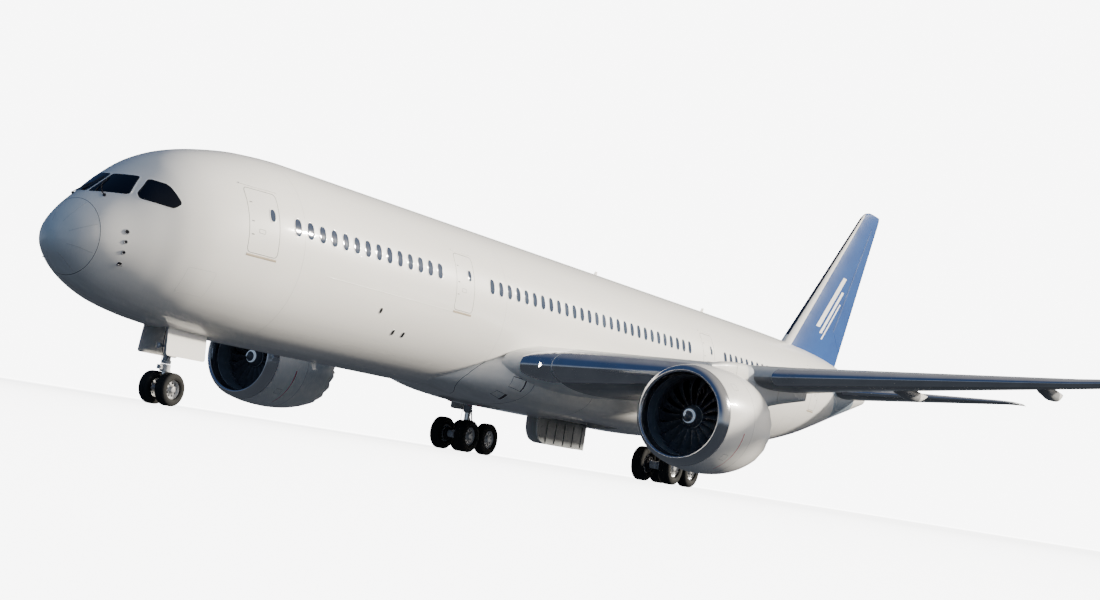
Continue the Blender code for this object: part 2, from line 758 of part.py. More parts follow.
def main_gear(side, word):
    x = side * MAIN_GEAR_X
    axle_z = MAIN_TYRE - CENTRE_HEIGHT
    axle = 0.09
    low = (x - 0.11, MAIN_GEAR_Y - 1.0, axle_z - 0.14)
    beam = block(f"bogie_beam_{word}", low, (x + 0.11, MAIN_GEAR_Y + 1.0, axle_z + 0.14))
    for way, place_word in ((-1, "front"), (1, "rear")):
        y = MAIN_GEAR_Y + way * AXLE_SPACING
        join(beam, rod("hub", (x - BEAM_WIDTH, y, axle_z), (x + BEAM_WIDTH, y, axle_z), 0.16))
        cut(beam, pin_bore((x - 0.6, y, axle_z), (x + 0.6, y, axle_z), axle))
        wheel_pair(f"main_wheels_{place_word}_{word}", x, y, MAIN_TYRE, MAIN_TYRE_WIDTH, MAIN_TRACK, axle)
    paint(beam, GEAR_METAL)
    foot = axle_z + 0.14 + SEAT
    leg_y = MAIN_GEAR_Y - 0.35
    under = skin_point(WING, side, MAIN_GEAR_X, 0.745, -1)
    leg = rod(f"main_gear_leg_{word}", (x, MAIN_GEAR_Y, foot + 0.9), (x, leg_y, under.z + 0.25), 0.21)
    join(leg, rod("piston", (x, MAIN_GEAR_Y, foot), (x, MAIN_GEAR_Y, foot + 1.1), 0.14))
    knee = (x, MAIN_GEAR_Y, foot + 1.3)
    join(leg, rod("brace", knee, (x - side * 1.25, leg_y - 0.3, under.z + 0.1), 0.075))
    join(leg, rod("drag", knee, (x, leg_y - 2.0, under.z + 0.25), 0.075))
    panel_x = sorted((x + side * 0.30, x + side * 0.35))
    panel_low = (panel_x[0], leg_y - 0.55, foot + 0.95)
    join(leg, block("panel", panel_low, (panel_x[1], leg_y + 0.50, under.z - 0.15)))
    join(leg, rod("arm", (x, leg_y, foot + 1.6), (x + side * 0.34, leg_y, foot + 1.6), 0.06))
    wing = wing_solid("wing", WING, side)
    wing.location.z -= SEAT * SCALE
    cut(leg, wing)
    cut(leg, fairing_body("fairing", SEAT))
    paint(leg, GEAR_METAL)


def nose_gear():
    axle_z = NOSE_TYRE - CENTRE_HEIGHT
    axle = 0.06
    y = NOSE_GEAR_Y
    split = -3.95
    roof = NOSE_WELL[3]
    leg = rod("nose_gear_leg", (0, y, split + SEAT), (0, y, roof - SEAT), 0.15)
    join(leg, rod("brace", (0, y, -3.3), (0, y - 0.62, roof - 0.1), 0.06))
    cut(leg, block("above", (-1, y - 1.5, roof - SEAT), (1, y + 1.5, roof + 0.6)))
    paint(leg, GEAR_METAL)
    fork = rod("nose_gear_fork", (0, y, axle_z), (0, y, split), 0.10)
    join(fork, rod("collar", (0, y, split - 0.22), (0, y, split), 0.17))
    join(fork, rod("hub", (-0.12, y, axle_z), (0.12, y, axle_z), 0.12))
    join(fork, block("tow", (-0.07, y - TOW_REACH, TOW_Z - 0.07), (0.07, y, TOW_Z + 0.07)))
    cut(fork, pin_bore((-0.4, y, axle_z), (0.4, y, axle_z), axle))
    set_origin(fork, (0, y, split))
    paint(fork, GEAR_METAL)
    wheel_pair("nose_wheels", 0.0, y, NOSE_TYRE, NOSE_TYRE_WIDTH, NOSE_TRACK, axle)


def gear_doors():
    inner, outer, front, rear, roof = MAIN_WELL
    z = FAIRING[FLOOR_ROW][3] + 0.05
    for side, word in SIDES:
        x = side * inner
        corners = [(front + 0.05, 0.0), (front + 0.05, -0.35), (front + 0.15, -0.65), (front + 0.42, -0.92)]
        corners += [(front + 0.9, -1.05), (rear - 0.05, -1.05), (rear - 0.05, 0.0)]
        rings = [[(x + side * step, y, z + drop) for y, drop in corners] for step in (0.0, 0.05)]
        door = loft(f"main_gear_door_{word}", rings)
        join(door, pin("hinge", (x, front + 0.05, z), (x, rear - 0.05, z), DOOR_PIN))
        set_origin(door, (x, front, z))
        paint(door, PAINT_GREY)
        half, well_front, well_rear, well_roof = NOSE_WELL
        sill = between(FUSELAGE, 5.6, 3)
        top = (side * (half - 0.05), sill + 0.10)
        low = (side * (half + 0.04), sill - 0.75)
        quad = [top, low, (low[0] - side * 0.04, low[1]), (top[0] - side * 0.04, top[1])]
        ends = (well_front + 0.05, well_rear - 0.05)
        door = loft(f"nose_gear_door_{word}", [[(x, y, z) for x, z in quad] for y in ends])
        reach = (0.05 - SEAT) / math.cos(math.pi / PIN_SIDES)
        start, end = [(top[0], y, top[1]) for y in ends]
        join(door, rod("hinge", start, end, reach, PIN_SIDES))
        paint(door, PAINT_WHITE)


def body():
    nodes = {}
    for name, front, rear in BARRELS:
        nodes[name] = barrel(name, front + SEAT / 2, rear - SEAT / 2 if rear < LENGTH else rear)
    cockpit_panes(nodes["nose_section"])
    cut(nodes["nose_section"], nose_well())
    belly = fairing_body("belly_fairing")
    cut(belly, barrel("skin", 16.0, 42.0, SEAT))
    inner, outer, front, rear, roof = MAIN_WELL
    groove_z = FAIRING[FLOOR_ROW][3] + 0.05
    for side, word in SIDES:
        cut(nodes["centre_fuselage"], main_well(side))
        cut(belly, main_well(side))
        x = side * inner
        cut(belly, pin_bore((x, front, groove_z), (x, rear, groove_z), DOOR_PIN))
    for row in CARGO_DOORS:
        name, door_front, door_rear, bottom, top = row
        host = [title for title, begin, end in BARRELS if begin < door_front and door_rear < end][0]
        cargo_door(*row, nodes[host])
    for node in nodes.values():
        paint(node, PAINT_WHITE)
    paint(belly, PAINT_WHITE)


def main():
    clear_scene()
    body()
    wings()
    tail()
    engines()
    for side, word in SIDES:
        main_gear(side, word)
    nose_gear()
    gear_doors()


main()
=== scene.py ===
import math

import bmesh
import bpy
import numpy as np
from mathutils import Matrix, Vector


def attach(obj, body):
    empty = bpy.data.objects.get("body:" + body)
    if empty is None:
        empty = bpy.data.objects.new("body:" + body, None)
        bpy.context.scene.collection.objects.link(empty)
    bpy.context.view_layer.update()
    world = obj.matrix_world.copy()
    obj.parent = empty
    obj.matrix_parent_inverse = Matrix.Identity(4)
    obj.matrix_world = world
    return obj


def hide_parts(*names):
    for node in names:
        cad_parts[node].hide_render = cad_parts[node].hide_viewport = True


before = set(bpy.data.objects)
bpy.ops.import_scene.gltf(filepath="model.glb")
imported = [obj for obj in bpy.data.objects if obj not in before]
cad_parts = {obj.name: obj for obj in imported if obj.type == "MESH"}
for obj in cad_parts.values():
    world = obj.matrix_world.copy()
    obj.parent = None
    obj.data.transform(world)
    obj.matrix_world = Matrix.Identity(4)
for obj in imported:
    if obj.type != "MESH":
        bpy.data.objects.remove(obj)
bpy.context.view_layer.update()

# Every size below is the real aircraft's, in metres, and place() turns it into the half-size model's.
# x runs to port, y runs aft from the nose tip, z runs up from the fuselage centreline.
SCALE = 0.5
LENGTH = 62.8
CENTRE_HEIGHT = 5.2
SIDES = ((1, "left"), (-1, "right"))
# Gap that a hinged surface keeps from what it is hinged to
RUN = 0.014

# Camera, in the model's own metres and degrees
CAMERA_TURN = 29.5
CAMERA_DISTANCE = 38.95
CAMERA_HEIGHT = 0.06
CAMERA_AIM = (-0.86, -0.68, 3.46)
CAMERA_ROLL = -9.0
CAMERA_LENS = 60.0

# Fuselage sections: station, half width, top, bottom
FUSELAGE = (
    (0.00, 0.04, -0.97, -1.05),
    (0.10, 0.42, -0.64, -1.38),
    (0.35, 0.83, -0.22, -1.66),
    (0.75, 1.13, 0.22, -2.00),
    (1.50, 1.54, 0.84, -2.37),
    (2.30, 1.94, 1.47, -2.61),
    (3.10, 2.30, 1.98, -2.75),
    (4.00, 2.56, 2.35, -2.86),
    (5.20, 2.74, 2.65, -2.94),
    (6.70, 2.85, 2.88, -2.99),
    (8.60, 2.885, 2.98, -3.01),
    (41.5, 2.885, 2.98, -3.01),
    (45.1, 2.84, 2.98, -2.84),
    (48.1, 2.72, 2.96, -2.50),
    (51.1, 2.48, 2.90, -1.95),
    (54.0, 2.10, 2.78, -1.25),
    (57.0, 1.55, 2.54, -0.50),
    (59.5, 1.05, 2.24, 0.10),
    (61.65, 0.60, 1.86, 0.62),
    (62.8, 0.32, 1.55, 0.90),
)
RADOME_END = 0.75
SECTION_JOINTS = (7.6, 19.5, 34.5, 48.1, 58.0)
HULL_SIDES = 144

# Belly fairing sections: station, half width, top, bottom
FAIRING = (
    (17.9, 1.20, -2.30, -2.86),
    (19.4, 2.30, -1.40, -3.10),
    (21.2, 3.00, -0.85, -3.28),
    (23.5, 3.25, -0.60, -3.37),
    (33.5, 3.25, -0.60, -3.37),
    (36.2, 2.90, -1.00, -3.27),
    (38.2, 2.20, -1.60, -3.08),
    (39.8, 1.00, -2.20, -2.82),
)
FAIRING_ROUNDING = 0.82

# Wing stations: x, leading edge, trailing edge, height of the leading edge, thickness ratio,
# rise of the trailing edge, lean of the section in degrees
WING = (
    (2.60, 20.20, 33.60, -1.75, 0.135, 0.00, 0),
    (9.05, 24.70, 33.60, -0.95, 0.115, 0.32, 0),
    (11.05, 26.05, 33.90, -0.65, 0.11, 0.38, 0),
    (20.00, 32.10, 35.80, 0.85, 0.105, 0.24, 0),
    (25.20, 35.50, 37.50, 1.85, 0.10, 0.06, 0),
    (27.20, 36.72, 38.15, 2.28, 0.10, 0.02, 0),
    (28.40, 37.32, 38.52, 2.55, 0.10, 0.02, 14),
    (29.20, 37.55, 38.80, 2.80, 0.10, 0.02, 30),
    (29.72, 37.85, 39.15, 3.16, 0.09, 0.04, 52),
    (30.00, 38.40, 39.50, 3.68, 0.08, 0.06, 74),
    (30.10, 39.15, 39.90, 4.25, 0.07, 0.08, 82),
)
# How many rows lie ahead of the rounded tip
WING_STRAIGHT = 6
# Stabiliser stations: the same columns
STABILISER = (
    (0.40, 52.35, 59.00, 0.72, 0.105, 0.12, 0),
    (9.00, 59.10, 61.15, 1.80, 0.10, 0.04, 0),
    (9.60, 59.80, 61.40, 1.87, 0.10, 0.02, 0),
    (9.90, 60.60, 61.60, 1.90, 0.10, 0.00, 0),
)
# Fin stations: height, then the same columns with sideways places for heights
FIN = (
    (1.50, 49.30, 57.90, 0.0, 0.11, 0.0, 0),
    (11.10, 59.05, 61.75, 0.0, 0.10, 0.0, 0),
    (11.45, 59.60, 61.85, 0.0, 0.09, 0.0, 0),
    (11.60, 60.20, 61.85, 0.0, 0.08, 0.0, 0),
)
TAIL_STRAIGHT = 2
# Camber and blunt trailing edge, as shares of the chord
CAMBER = 0.045
BLUNT_EDGE = 0.0008

# Hinged surfaces: name, table, inner end, outer end, hinge place on the chord
SURFACES = (
    ("inboard_flap", WING, 4.20, 8.85, 0.85),
    ("flaperon", WING, 9.40, 10.85, 0.79),
    ("outboard_flap", WING, 11.45, 19.60, 0.75),
    ("aileron", WING, 20.60, 24.90, 0.72),
    ("elevator", STABILISER, 2.55, 8.75, 0.68),
    ("rudder", FIN, 4.30, 10.70, 0.70),
)
# How far below the wing's hinge line a flap's pivot lies
FLAP_DROP = 0.42

# Flap fairings: flap, x, length ahead of the pivot, length behind it, half width
FLAP_FAIRINGS = (
    ("inboard_flap", 6.50, 2.2, 2.9, 0.28),
    ("outboard_flap", 13.50, 1.80, 2.75, 0.26),
    ("outboard_flap", 18.60, 1.6, 2.30, 0.23),
)
# Their halves: share of the length, share of the width, height of the keel above the pivot
FRONT_HALF = ((-1.0, 0.10, 0.42), (-0.65, 0.70, 0.18), (-0.30, 1.0, 0.04), (0.0, 1.0, -0.02))
REAR_HALF = ((0.0, 1.0, -0.02), (0.22, 1.0, -0.09), (0.5, 0.86, -0.07), (0.78, 0.48, 0.10), (1.0, 0.06, 0.27))

# Slats: name, inner end, outer end
SLATS = (
    ("inboard_slat", 4.10, 9.20),
    ("outboard_slat", 10.75, 27.00),
)
SLAT_CHORD = 0.075

# Middle of the port engine's inlet lip
ENGINE_X = 9.93
ENGINE_Y = 20.37
ENGINE_Z = -2.72

# Landing gear: places, wheel radii, tyre widths, half tracks
NOSE_GEAR_Y = 5.5
NOSE_TYRE = 0.508
NOSE_TYRE_WIDTH = 0.38
NOSE_TRACK = 0.33
MAIN_GEAR_X = 4.9
MAIN_GEAR_Y = 30.0
MAIN_TYRE = 0.685
MAIN_TYRE_WIDTH = 0.50
MAIN_TRACK = 0.62
AXLE_SPACING = 0.76

# Wheel wells: half width or inner side, outer side, front, rear, roof
MAIN_WELL = (0.22, 1.80, 27.2, 31.4, -2.2)
NOSE_WELL = (0.55, 4.75, 6.60, -1.9)

# Cargo doors on the starboard side: name, front, rear, bottom, top
CARGO_DOORS = (
    ("forward_cargo_door", 10.4, 13.1, -2.35, -0.65),
    ("aft_cargo_door", 41.8, 44.5, -2.20, -0.60),
)
DOOR_THICKNESS = 0.12

# Cockpit panes: the front one seen along y as x and height, the side one along x as y and height
FRONT_PANE = ((0.04, 1.16), (0.82, 1.19), (1.04, 0.57), (0.04, 0.49))
SIDE_PANE = ((2.31, 1.15), (2.67, 1.08), (2.86, 0.60), (2.62, 0.41), (1.84, 0.51), (1.86, 0.66))

# Cabin windows: first station and how many follow at the pitch
WINDOW_GROUPS = ((7.25, 14), (18.50, 28), (38.52, 16))
WINDOW_PITCH = 0.604
WINDOW_HEIGHT = 0.79
WINDOW_SIZE = (0.158, 0.262)

# Passenger doors: front, rear, bottom, top, place of the small pane along the door
PASSENGER_DOORS = (
    (5.11, 6.39, -0.33, 1.60, 0.78),
    (16.15, 17.30, -0.36, 1.60, 0.74),
    (36.20, 37.35, -0.36, 1.60, 0.74),
    (49.35, 50.45, -0.42, 1.66, 0.26),
)


# Reading tables

class Curve:
    """A table read along its first column, smooth and free of overshoot between its rows."""

    def __init__(self, rows, warp=0.0):
        data = np.array(rows, float)
        self.start = data[0, 0]
        self.warp = warp
        self.keys = self.bend(data[:, 0])
        self.values = data[:, 1:]
        step = np.diff(self.keys)[:, None]
        slope = np.diff(self.values, axis=0) / step
        self.slopes = np.zeros_like(self.values)
        self.slopes[0] = slope[0]
        self.slopes[-1] = slope[-1]
        near = 2 * step[1:] + step[:-1]
        far = step[1:] + 2 * step[:-1]
        rising = slope[:-1] * slope[1:] > 0
        safe_near = np.where(rising, slope[:-1], 1.0)
        safe_far = np.where(rising, slope[1:], 1.0)
        self.slopes[1:-1] = np.where(rising, (near + far) / (near / safe_near + far / safe_far), 0.0)

    def bend(self, key):
        """A square root near the first row lets a table start at a round tip."""
        return np.sqrt(np.asarray(key, float) - self.start) if self.warp else np.asarray(key, float)

    def at(self, key):
        spot = self.bend(key)
        index = np.clip(np.searchsorted(self.keys, spot) - 1, 0, len(self.keys) - 2)
        width = self.keys[index + 1] - self.keys[index]
        share = ((spot - self.keys[index]) / width)[..., None]
        width = width[..., None]
        a, b = self.values[index], self.values[index + 1]
        ma, mb = self.slopes[index] * width, self.slopes[index + 1] * width
        cube = share ** 3
        square = share ** 2
        return ((2 * cube - 3 * square + 1) * a + (cube - 2 * square + share) * ma
                + (3 * square - 2 * cube) * b + (cube - square) * mb)


def line_through(points, steps=8):
    """A smooth open line through the given points, as in a drawn spline."""
    spots = [np.array(p, float) for p in points]
    ends = [2 * spots[0] - spots[1]] + spots + [2 * spots[-1] - spots[-2]]
    out = []
    for a, b, c, d in zip(ends, ends[1:], ends[2:], ends[3:]):
        for k in range(steps):
            t = k / steps
            out.append(0.5 * (2 * b + (c - a) * t + (2 * a - 5 * b + 4 * c - d) * t ** 2
                              + (3 * b - a - 3 * c + d) * t ** 3))
    out.append(spots[-1])
    return out


# Making meshes

def place(point):
    """Turn a full-size aircraft point into the model's own metres."""
    x, y, z = point
    return Vector((x * SCALE, model_y(y), model_z(z)))


def model_y(station):
    return (station - LENGTH / 2) * SCALE


def model_z(height):
    return (height + CENTRE_HEIGHT) * SCALE


def turns(count, shift=0.0):
    """Angles spaced evenly round a full circle."""
    return [2 * math.pi * (k + shift) / count for k in range(count)]


def spaced(start, end, count):
    """Values spaced evenly from start to end, both included."""
    return [start + (end - start) * k / (count - 1) for k in range(count)]


def blunted(value, power):
    """A sine or cosine to a power, with its sign; powers under 1 make a circle squarer."""
    return math.copysign(abs(value) ** power, value)


def unit(vector):
    return vector / np.linalg.norm(vector)


class Shape:
    """Points and faces gathered in full-size metres until they become one object."""

    def __init__(self):
        self.points = []
        self.faces = []

    def add(self, points, faces):
        start = len(self.points)
        self.points.extend(tuple(float(v) for v in point) for point in points)
        self.faces.extend(tuple(start + k for k in face) for face in faces)
        return self

    def loft(self, rings, wrap=False, caps=True):
        """Skin equal closed rings of points; wrap joins the last ring to the first."""
        count = len(rings[0])
        rows = len(rings)
        faces = []
        for i in range(rows if wrap else rows - 1):
            near = i * count
            far = ((i + 1) % rows) * count
            for k in range(count):
                nxt = (k + 1) % count
                faces.append((near + k, near + nxt, far + nxt, far + k))
        if caps and not wrap:
            faces.append(tuple(range(count)))
            faces.append(tuple(reversed(range((rows - 1) * count, rows * count))))
        return self.add([point for ring in rings for point in ring], faces)

    def build(self, name, angle=35.0):
        mesh = bpy.data.meshes.new(name)
        mesh.from_pydata([place(point) for point in self.points], [], self.faces)
        body = bpy.data.objects.new(name, mesh)
        bpy.context.collection.objects.link(body)
        turn_out(body)
        shade(body, angle)
        return body

    def piece(self, name, material, angle=35.0, **place_in_model):
        """Build the object and dress it."""
        return dress(self.build(name, angle), material, **place_in_model)


def turn_out(body):
    """Make every shell's faces look outwards."""
    work = bmesh.new()
    work.from_mesh(body.data)
    bmesh.ops.recalc_face_normals(work, faces=work.faces)
    work.to_mesh(body.data)
    work.free()


def shade(body, angle):
    """Smooth shading with hard edges where faces meet at more than the angle."""
    work = bmesh.new()
    work.from_mesh(body.data)
    limit = math.radians(angle)
    for face in work.faces:
        face.smooth = True
    for edge in work.edges:
        edge.smooth = len(edge.link_faces) == 2 and edge.calc_face_angle(0.0) < limit
    work.to_mesh(body.data)
    work.free()


def dress(body, material, rides="airframe", slot=None, stands_for=()):
    """Give a piece its finish, the body it moves with and the solids it stands for."""
    if not body.data.materials:
        body.data.materials.append(material)
    nodes = [stands_for] if isinstance(stands_for, str) else stands_for
    for node in nodes:
        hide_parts(node)
    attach(body, rides)
    return body


def boolean(target, tool, operation):
    step = target.modifiers.new("step", "BOOLEAN")
    step.operation = operation
    step.solver = "EXACT"
    step.object = tool
    bpy.context.view_layer.update()
    graph = bpy.context.evaluated_depsgraph_get()
    mesh = bpy.data.meshes.new_from_object(target.evaluated_get(graph))
    target.modifiers.clear()
    target.data = mesh
    bpy.data.objects.remove(tool)
    return target


def cut(target, tool):
    return boolean(target, tool, "DIFFERENCE")


def keep(target, tool):
    return boolean(target, tool, "INTERSECT")


def block_points(low, high):
    """Corners of a box as two rings, front and rear."""
    corners = ((low[0], low[2]), (high[0], low[2]), (high[0], high[2]), (low[0], high[2]))
    return [[(x, y, z) for x, z in corners] for y in (low[1], high[1])]


def frame_of(along):
    """Two directions square to a line."""
    along = unit(along)
    guide = np.array((0.0, 0.0, 1.0)) if abs(along[2]) < 0.9 else np.array((0.0, 1.0, 0.0))
    across = unit(np.cross(along, guide))
    return across, np.cross(across, along)


def ring_about(centre, across, up, radius, sides):
    return [centre + radius * (math.sin(a) * across + math.cos(a) * up) for a in turns(sides)]


def turned(shape, start, end, profile, sides=32):
    """Turn a profile of (distance, radius) about the line from start towards end."""
    start = np.array(start, float)
    along = unit(np.array(end, float) - start)
    across, up = frame_of(along)
    rings = [ring_about(start + step * along, across, up, radius, sides) for step, radius in profile]
    return shape.loft(rings)


def rod(shape, start, end, radius, sides=20, lip=0.008):
    """A round bar with softened ends."""
    length = float(np.linalg.norm(np.array(end, float) - np.array(start, float)))
    lip = min(lip, radius * 0.4, length * 0.3)
    profile = ((0.0, radius - lip), (lip, radius), (length - lip, radius), (length, radius - lip))
    return turned(shape, start, end, profile, sides)


def tube(shape, path, radius, sides=10):
    """A round tube that follows a path."""
    path = [np.array(p, float) for p in path]
    rings = []
    across, up = frame_of(path[1] - path[0])
    for k, spot in enumerate(path):
        ahead = unit(path[min(k + 1, len(path) - 1)] - path[max(k - 1, 0)])
        across = unit(across - across.dot(ahead) * ahead)
        up = np.cross(across, ahead)
        rings.append(ring_about(spot, across, up, radius, sides))
    return shape.loft(rings)


def ribbon(shape, path, normals, width, height, sunk=0.004, closed=False):
    """A thin raised strip along a path on a surface."""
    path = [np.array(p, float) for p in path]
    count = len(path)
    rings = []
    for k, spot in enumerate(path):
        if closed:
            ahead = path[(k + 1) % count] - path[k - 1]
        else:
            ahead = path[min(k + 1, count - 1)] - path[max(k - 1, 0)]
        normal = np.array(normals[k], float)
        across = np.cross(ahead, normal)
        across = across / max(np.linalg.norm(across), 1e-9) * width / 2
        top = normal * height
        low = -normal * sunk
        rings.append([spot - across + low, spot - across + top * 0.6, spot - across * 0.7 + top,
                      spot + across * 0.7 + top, spot + across + top * 0.6, spot + across + low])
    return shape.loft(rings, wrap=closed)


def shrunk_outlines(outline, shares):
    """An outline drawn in towards its own middle by each share in turn."""
    middle = sum(np.array(spot, float) for spot in outline) / len(outline)
    return [[middle + (np.array(spot, float) - middle) * share for spot in outline] for share in shares]


def rounded(corners, radius, steps=5):
    """An outline with its corners rounded off."""
    out = []
    count = len(corners)
    for k in range(count):
        before, spot, after = (np.array(corners[(k + step) % count], float) for step in (-1, 0, 1))
        reach = min(radius, 0.45 * np.linalg.norm(before - spot), 0.45 * np.linalg.norm(after - spot))
        start = spot + unit(before - spot) * reach
        end = spot + unit(after - spot) * reach
        for t in spaced(0.0, 1.0, steps + 1):
            out.append((1 - t) ** 2 * start + 2 * t * (1 - t) * spot + t ** 2 * end)
    return out


def along_edges(corners, spacing=None, steps=8):
    """Points along a closed outline, without repeating its start: so many to an edge, or by a spacing."""
    out = []
    for a, b in zip(corners, corners[1:] + corners[:1]):
        a, b = np.array(a, float), np.array(b, float)
        count = max(1, int(np.linalg.norm(b - a) / spacing)) if spacing else steps
        out.extend(a + (b - a) * k / count for k in range(count))
    return out


# Finishes

AFT_STREAKS = (1, 0.25, 1)
LIVERY_WHITE = (0.80, 0.79, 0.76)


def shader_of(name):
    material = bpy.data.materials.new(name)
    material.use_nodes = True
    return material, material.node_tree, material.node_tree.nodes["Principled BSDF"]


def spot_node(tree, stretch=(1, 1, 1)):
    """Where a point lies on its object, stretched to draw a pattern out."""
    coordinates = tree.nodes.new("ShaderNodeTexCoord")
    mapping = tree.nodes.new("ShaderNodeMapping")
    mapping.inputs["Scale"].default_value = stretch
    tree.links.new(coordinates.outputs["Object"], mapping.inputs["Vector"])
    return mapping.outputs["Vector"]


def noise(tree, vector, scale, detail=4.0):
    node = tree.nodes.new("ShaderNodeTexNoise")
    node.inputs["Scale"].default_value = scale
    node.inputs["Detail"].default_value = detail
    node.inputs["Roughness"].default_value = 0.55
    tree.links.new(vector, node.inputs["Vector"])
    return node.outputs["Fac"]


def remap(tree, value, low, high, out_low=0.0, out_high=1.0):
    node = tree.nodes.new("ShaderNodeMapRange")
    node.clamp = True
    limits = (("From Min", low), ("From Max", high), ("To Min", out_low), ("To Max", out_high))
    for socket, limit in limits:
        node.inputs[socket].default_value = limit
    tree.links.new(value, node.inputs["Value"])
    return node.outputs["Result"]


def blend_colours(tree, share, first, second):
    """Two colours mixed by a share; either may be a colour or another node's output."""
    node = tree.nodes.new("ShaderNodeMix")
    node.data_type = "RGBA"
    tree.links.new(share, node.inputs["Factor"])
    for socket, colour in ((node.inputs[6], first), (node.inputs[7], second)):
        if isinstance(colour, tuple):
            socket.default_value = (*colour, 1.0)
        else:
            tree.links.new(colour, socket)
    return node.outputs[2]


def arithmetic(tree, operation, *values, clamp=False):
    node = tree.nodes.new("ShaderNodeMath")
    node.operation = operation
    node.use_clamp = clamp
    for socket, value in zip(node.inputs, values):
        if isinstance(value, float):
            socket.default_value = value
        else:
            tree.links.new(value, socket)
    return node.outputs["Value"]


def both(tree, first, second):
    """The product of two shares: 1 only where both are 1."""
    return arithmetic(tree, "MULTIPLY", first, second, clamp=True)


def inside(tree, value, low, high, soft=0.004):
    """1 where a value lies between two limits."""
    above = remap(tree, value, low - soft, low + soft)
    return both(tree, above, remap(tree, value, high + soft, high - soft))


def axis_of(tree, output, axis):
    coordinates = tree.nodes.new("ShaderNodeTexCoord")
    split = tree.nodes.new("ShaderNodeSeparateXYZ")
    tree.links.new(coordinates.outputs[output], split.inputs["Vector"])
    return split.outputs[axis]


def along_axis(tree, axis):
    """One coordinate of the point on its object, in the model's metres."""
    return axis_of(tree, "Object", axis)


def facing(tree, axis):
    """How far the surface faces along one of the object's own axes, from -1 to 1."""
    return axis_of(tree, "Normal", axis)


def relief(tree, shader, height, strength, distance):
    bump = tree.nodes.new("ShaderNodeBump")
    bump.inputs["Strength"].default_value = strength
    bump.inputs["Distance"].default_value = distance
    tree.links.new(height, bump.inputs["Height"])
    tree.links.new(bump.outputs["Normal"], shader.inputs["Normal"])


def worn(name, light, dark, roughness, scale=1.4, stretch=(1, 1, 1), metallic=0.0, coat=0.0,
         fine=60.0, strength=0.05, distance=0.0006, masks=(), specular=0.5, glow=None):
    """A finish whose colour, gloss and relief wander a little, as on used paint or metal.

    Each mask is a function that takes the tree and the colour so far and gives the next colour; some masks
    paint light and shade into it.
    A glow is a colour and a strength; on a part that is no lamp it is painted light.
    """
    material, tree, shader = shader_of(name)
    broad = noise(tree, spot_node(tree, stretch), scale)
    colour = blend_colours(tree, remap(tree, broad, 0.38, 0.66), light, dark)
    for mask in masks:
        colour = mask(tree, colour)
    tree.links.new(colour, shader.inputs["Base Color"])
    grain = noise(tree, spot_node(tree), fine, 3.0)
    tree.links.new(remap(tree, broad, 0.35, 0.7, roughness[0], roughness[1]), shader.inputs["Roughness"])
    relief(tree, shader, grain, strength, distance)
    shader.inputs["Metallic"].default_value = metallic
    shader.inputs["Specular IOR Level"].default_value = specular
    if coat:
        shader.inputs["Coat Weight"].default_value = coat
        shader.inputs["Coat Roughness"].default_value = 0.06
    if glow:
        shader.inputs["Emission Color"].default_value = (*glow[0], 1.0)
        shader.inputs["Emission Strength"].default_value = glow[1]
    return material


def belly_grime_and_shade(tree, colour):
    """Paint that greys towards the keel in aft streaks: grime in the streaks, and painted shade on the faces
    that look down.
    """
    low = remap(tree, facing(tree, "Z"), -0.55, -0.98)
    streak = noise(tree, spot_node(tree, (2.2, 0.10, 2.2)), 2.6, 6.0)
    share = both(tree, low, remap(tree, streak, 0.35, 0.75, 0.05, 0.55))
    return blend_colours(tree, share, colour, (0.47, 0.46, 0.44))


def root_white(tree, colour):
    """The white that runs from the fuselage on to the inner wing, with a slanting edge."""
    out = arithmetic(tree, "ABSOLUTE", along_axis(tree, "X"))
    edge = remap(tree, along_axis(tree, "Y"), model_y(21.5), model_y(33.0), 2.06, 1.55)
    share = remap(tree, arithmetic(tree, "SUBTRACT", out, edge), -0.004, 0.004)
    return blend_colours(tree, share, LIVERY_WHITE, colour)


def painted_top_light(tree, colour):
    """Upper surfaces are a lighter grey than lower ones: painted light on the tops and painted shade below.
    """
    return blend_colours(tree, remap(tree, facing(tree, "Z"), -0.15, 0.15), colour, (0.36, 0.38, 0.40))


def tail_plate(tree, colour):
    """The blue-grey plates that the stabiliser turns against."""
    along, height = along_axis(tree, "Y"), along_axis(tree, "Z")
    slant = 1.60
    front_edge = model_y(54.25) + slant * model_z(0.03)
    rear_edge = model_y(59.0) + model_z(0.97)
    front = arithmetic(tree, "MULTIPLY_ADD", height, slant, along)
    rear = arithmetic(tree, "ADD", height, along)
    past = remap(tree, front, front_edge - 0.004, front_edge + 0.004)
    ahead = remap(tree, rear, rear_edge + 0.004, rear_edge - 0.004)
    under = remap(tree, height, model_z(0.90), model_z(0.88))
    share = both(tree, both(tree, past, ahead), under)
    return blend_colours(tree, share, colour, (0.25, 0.31, 0.365))


def fin_scheme(tree, colour):
    """A white band behind the leading edge and three plain slanted bars low on the fin."""
    root, tip = FIN[0], FIN[1]
    rake = (tip[1] - root[1]) / (tip[0] - root[0])
    foot = model_y(root[1]) - rake * model_z(root[0])
    height = along_axis(tree, "Z")
    behind = arithmetic(tree, "MULTIPLY_ADD", height, -rake, along_axis(tree, "Y"))
    width = remap(tree, height, model_z(2.5), model_z(11.0), 0.30, 0.10)
    past = arithmetic(tree, "SUBTRACT", behind, width)
    painted = blend_colours(tree, remap(tree, past, foot - 0.006, foot + 0.006), LIVERY_WHITE, colour)
    for start, end, low, high in ((0.95, 1.22, 4.3, 7.4), (1.38, 1.56, 4.0, 6.6), (1.70, 1.80, 3.7, 5.9)):
        bar = both(tree, inside(tree, behind, foot + start, foot + end),
                   inside(tree, height, model_z(low), model_z(high)))
        painted = blend_colours(tree, bar, painted, LIVERY_WHITE)
    return painted


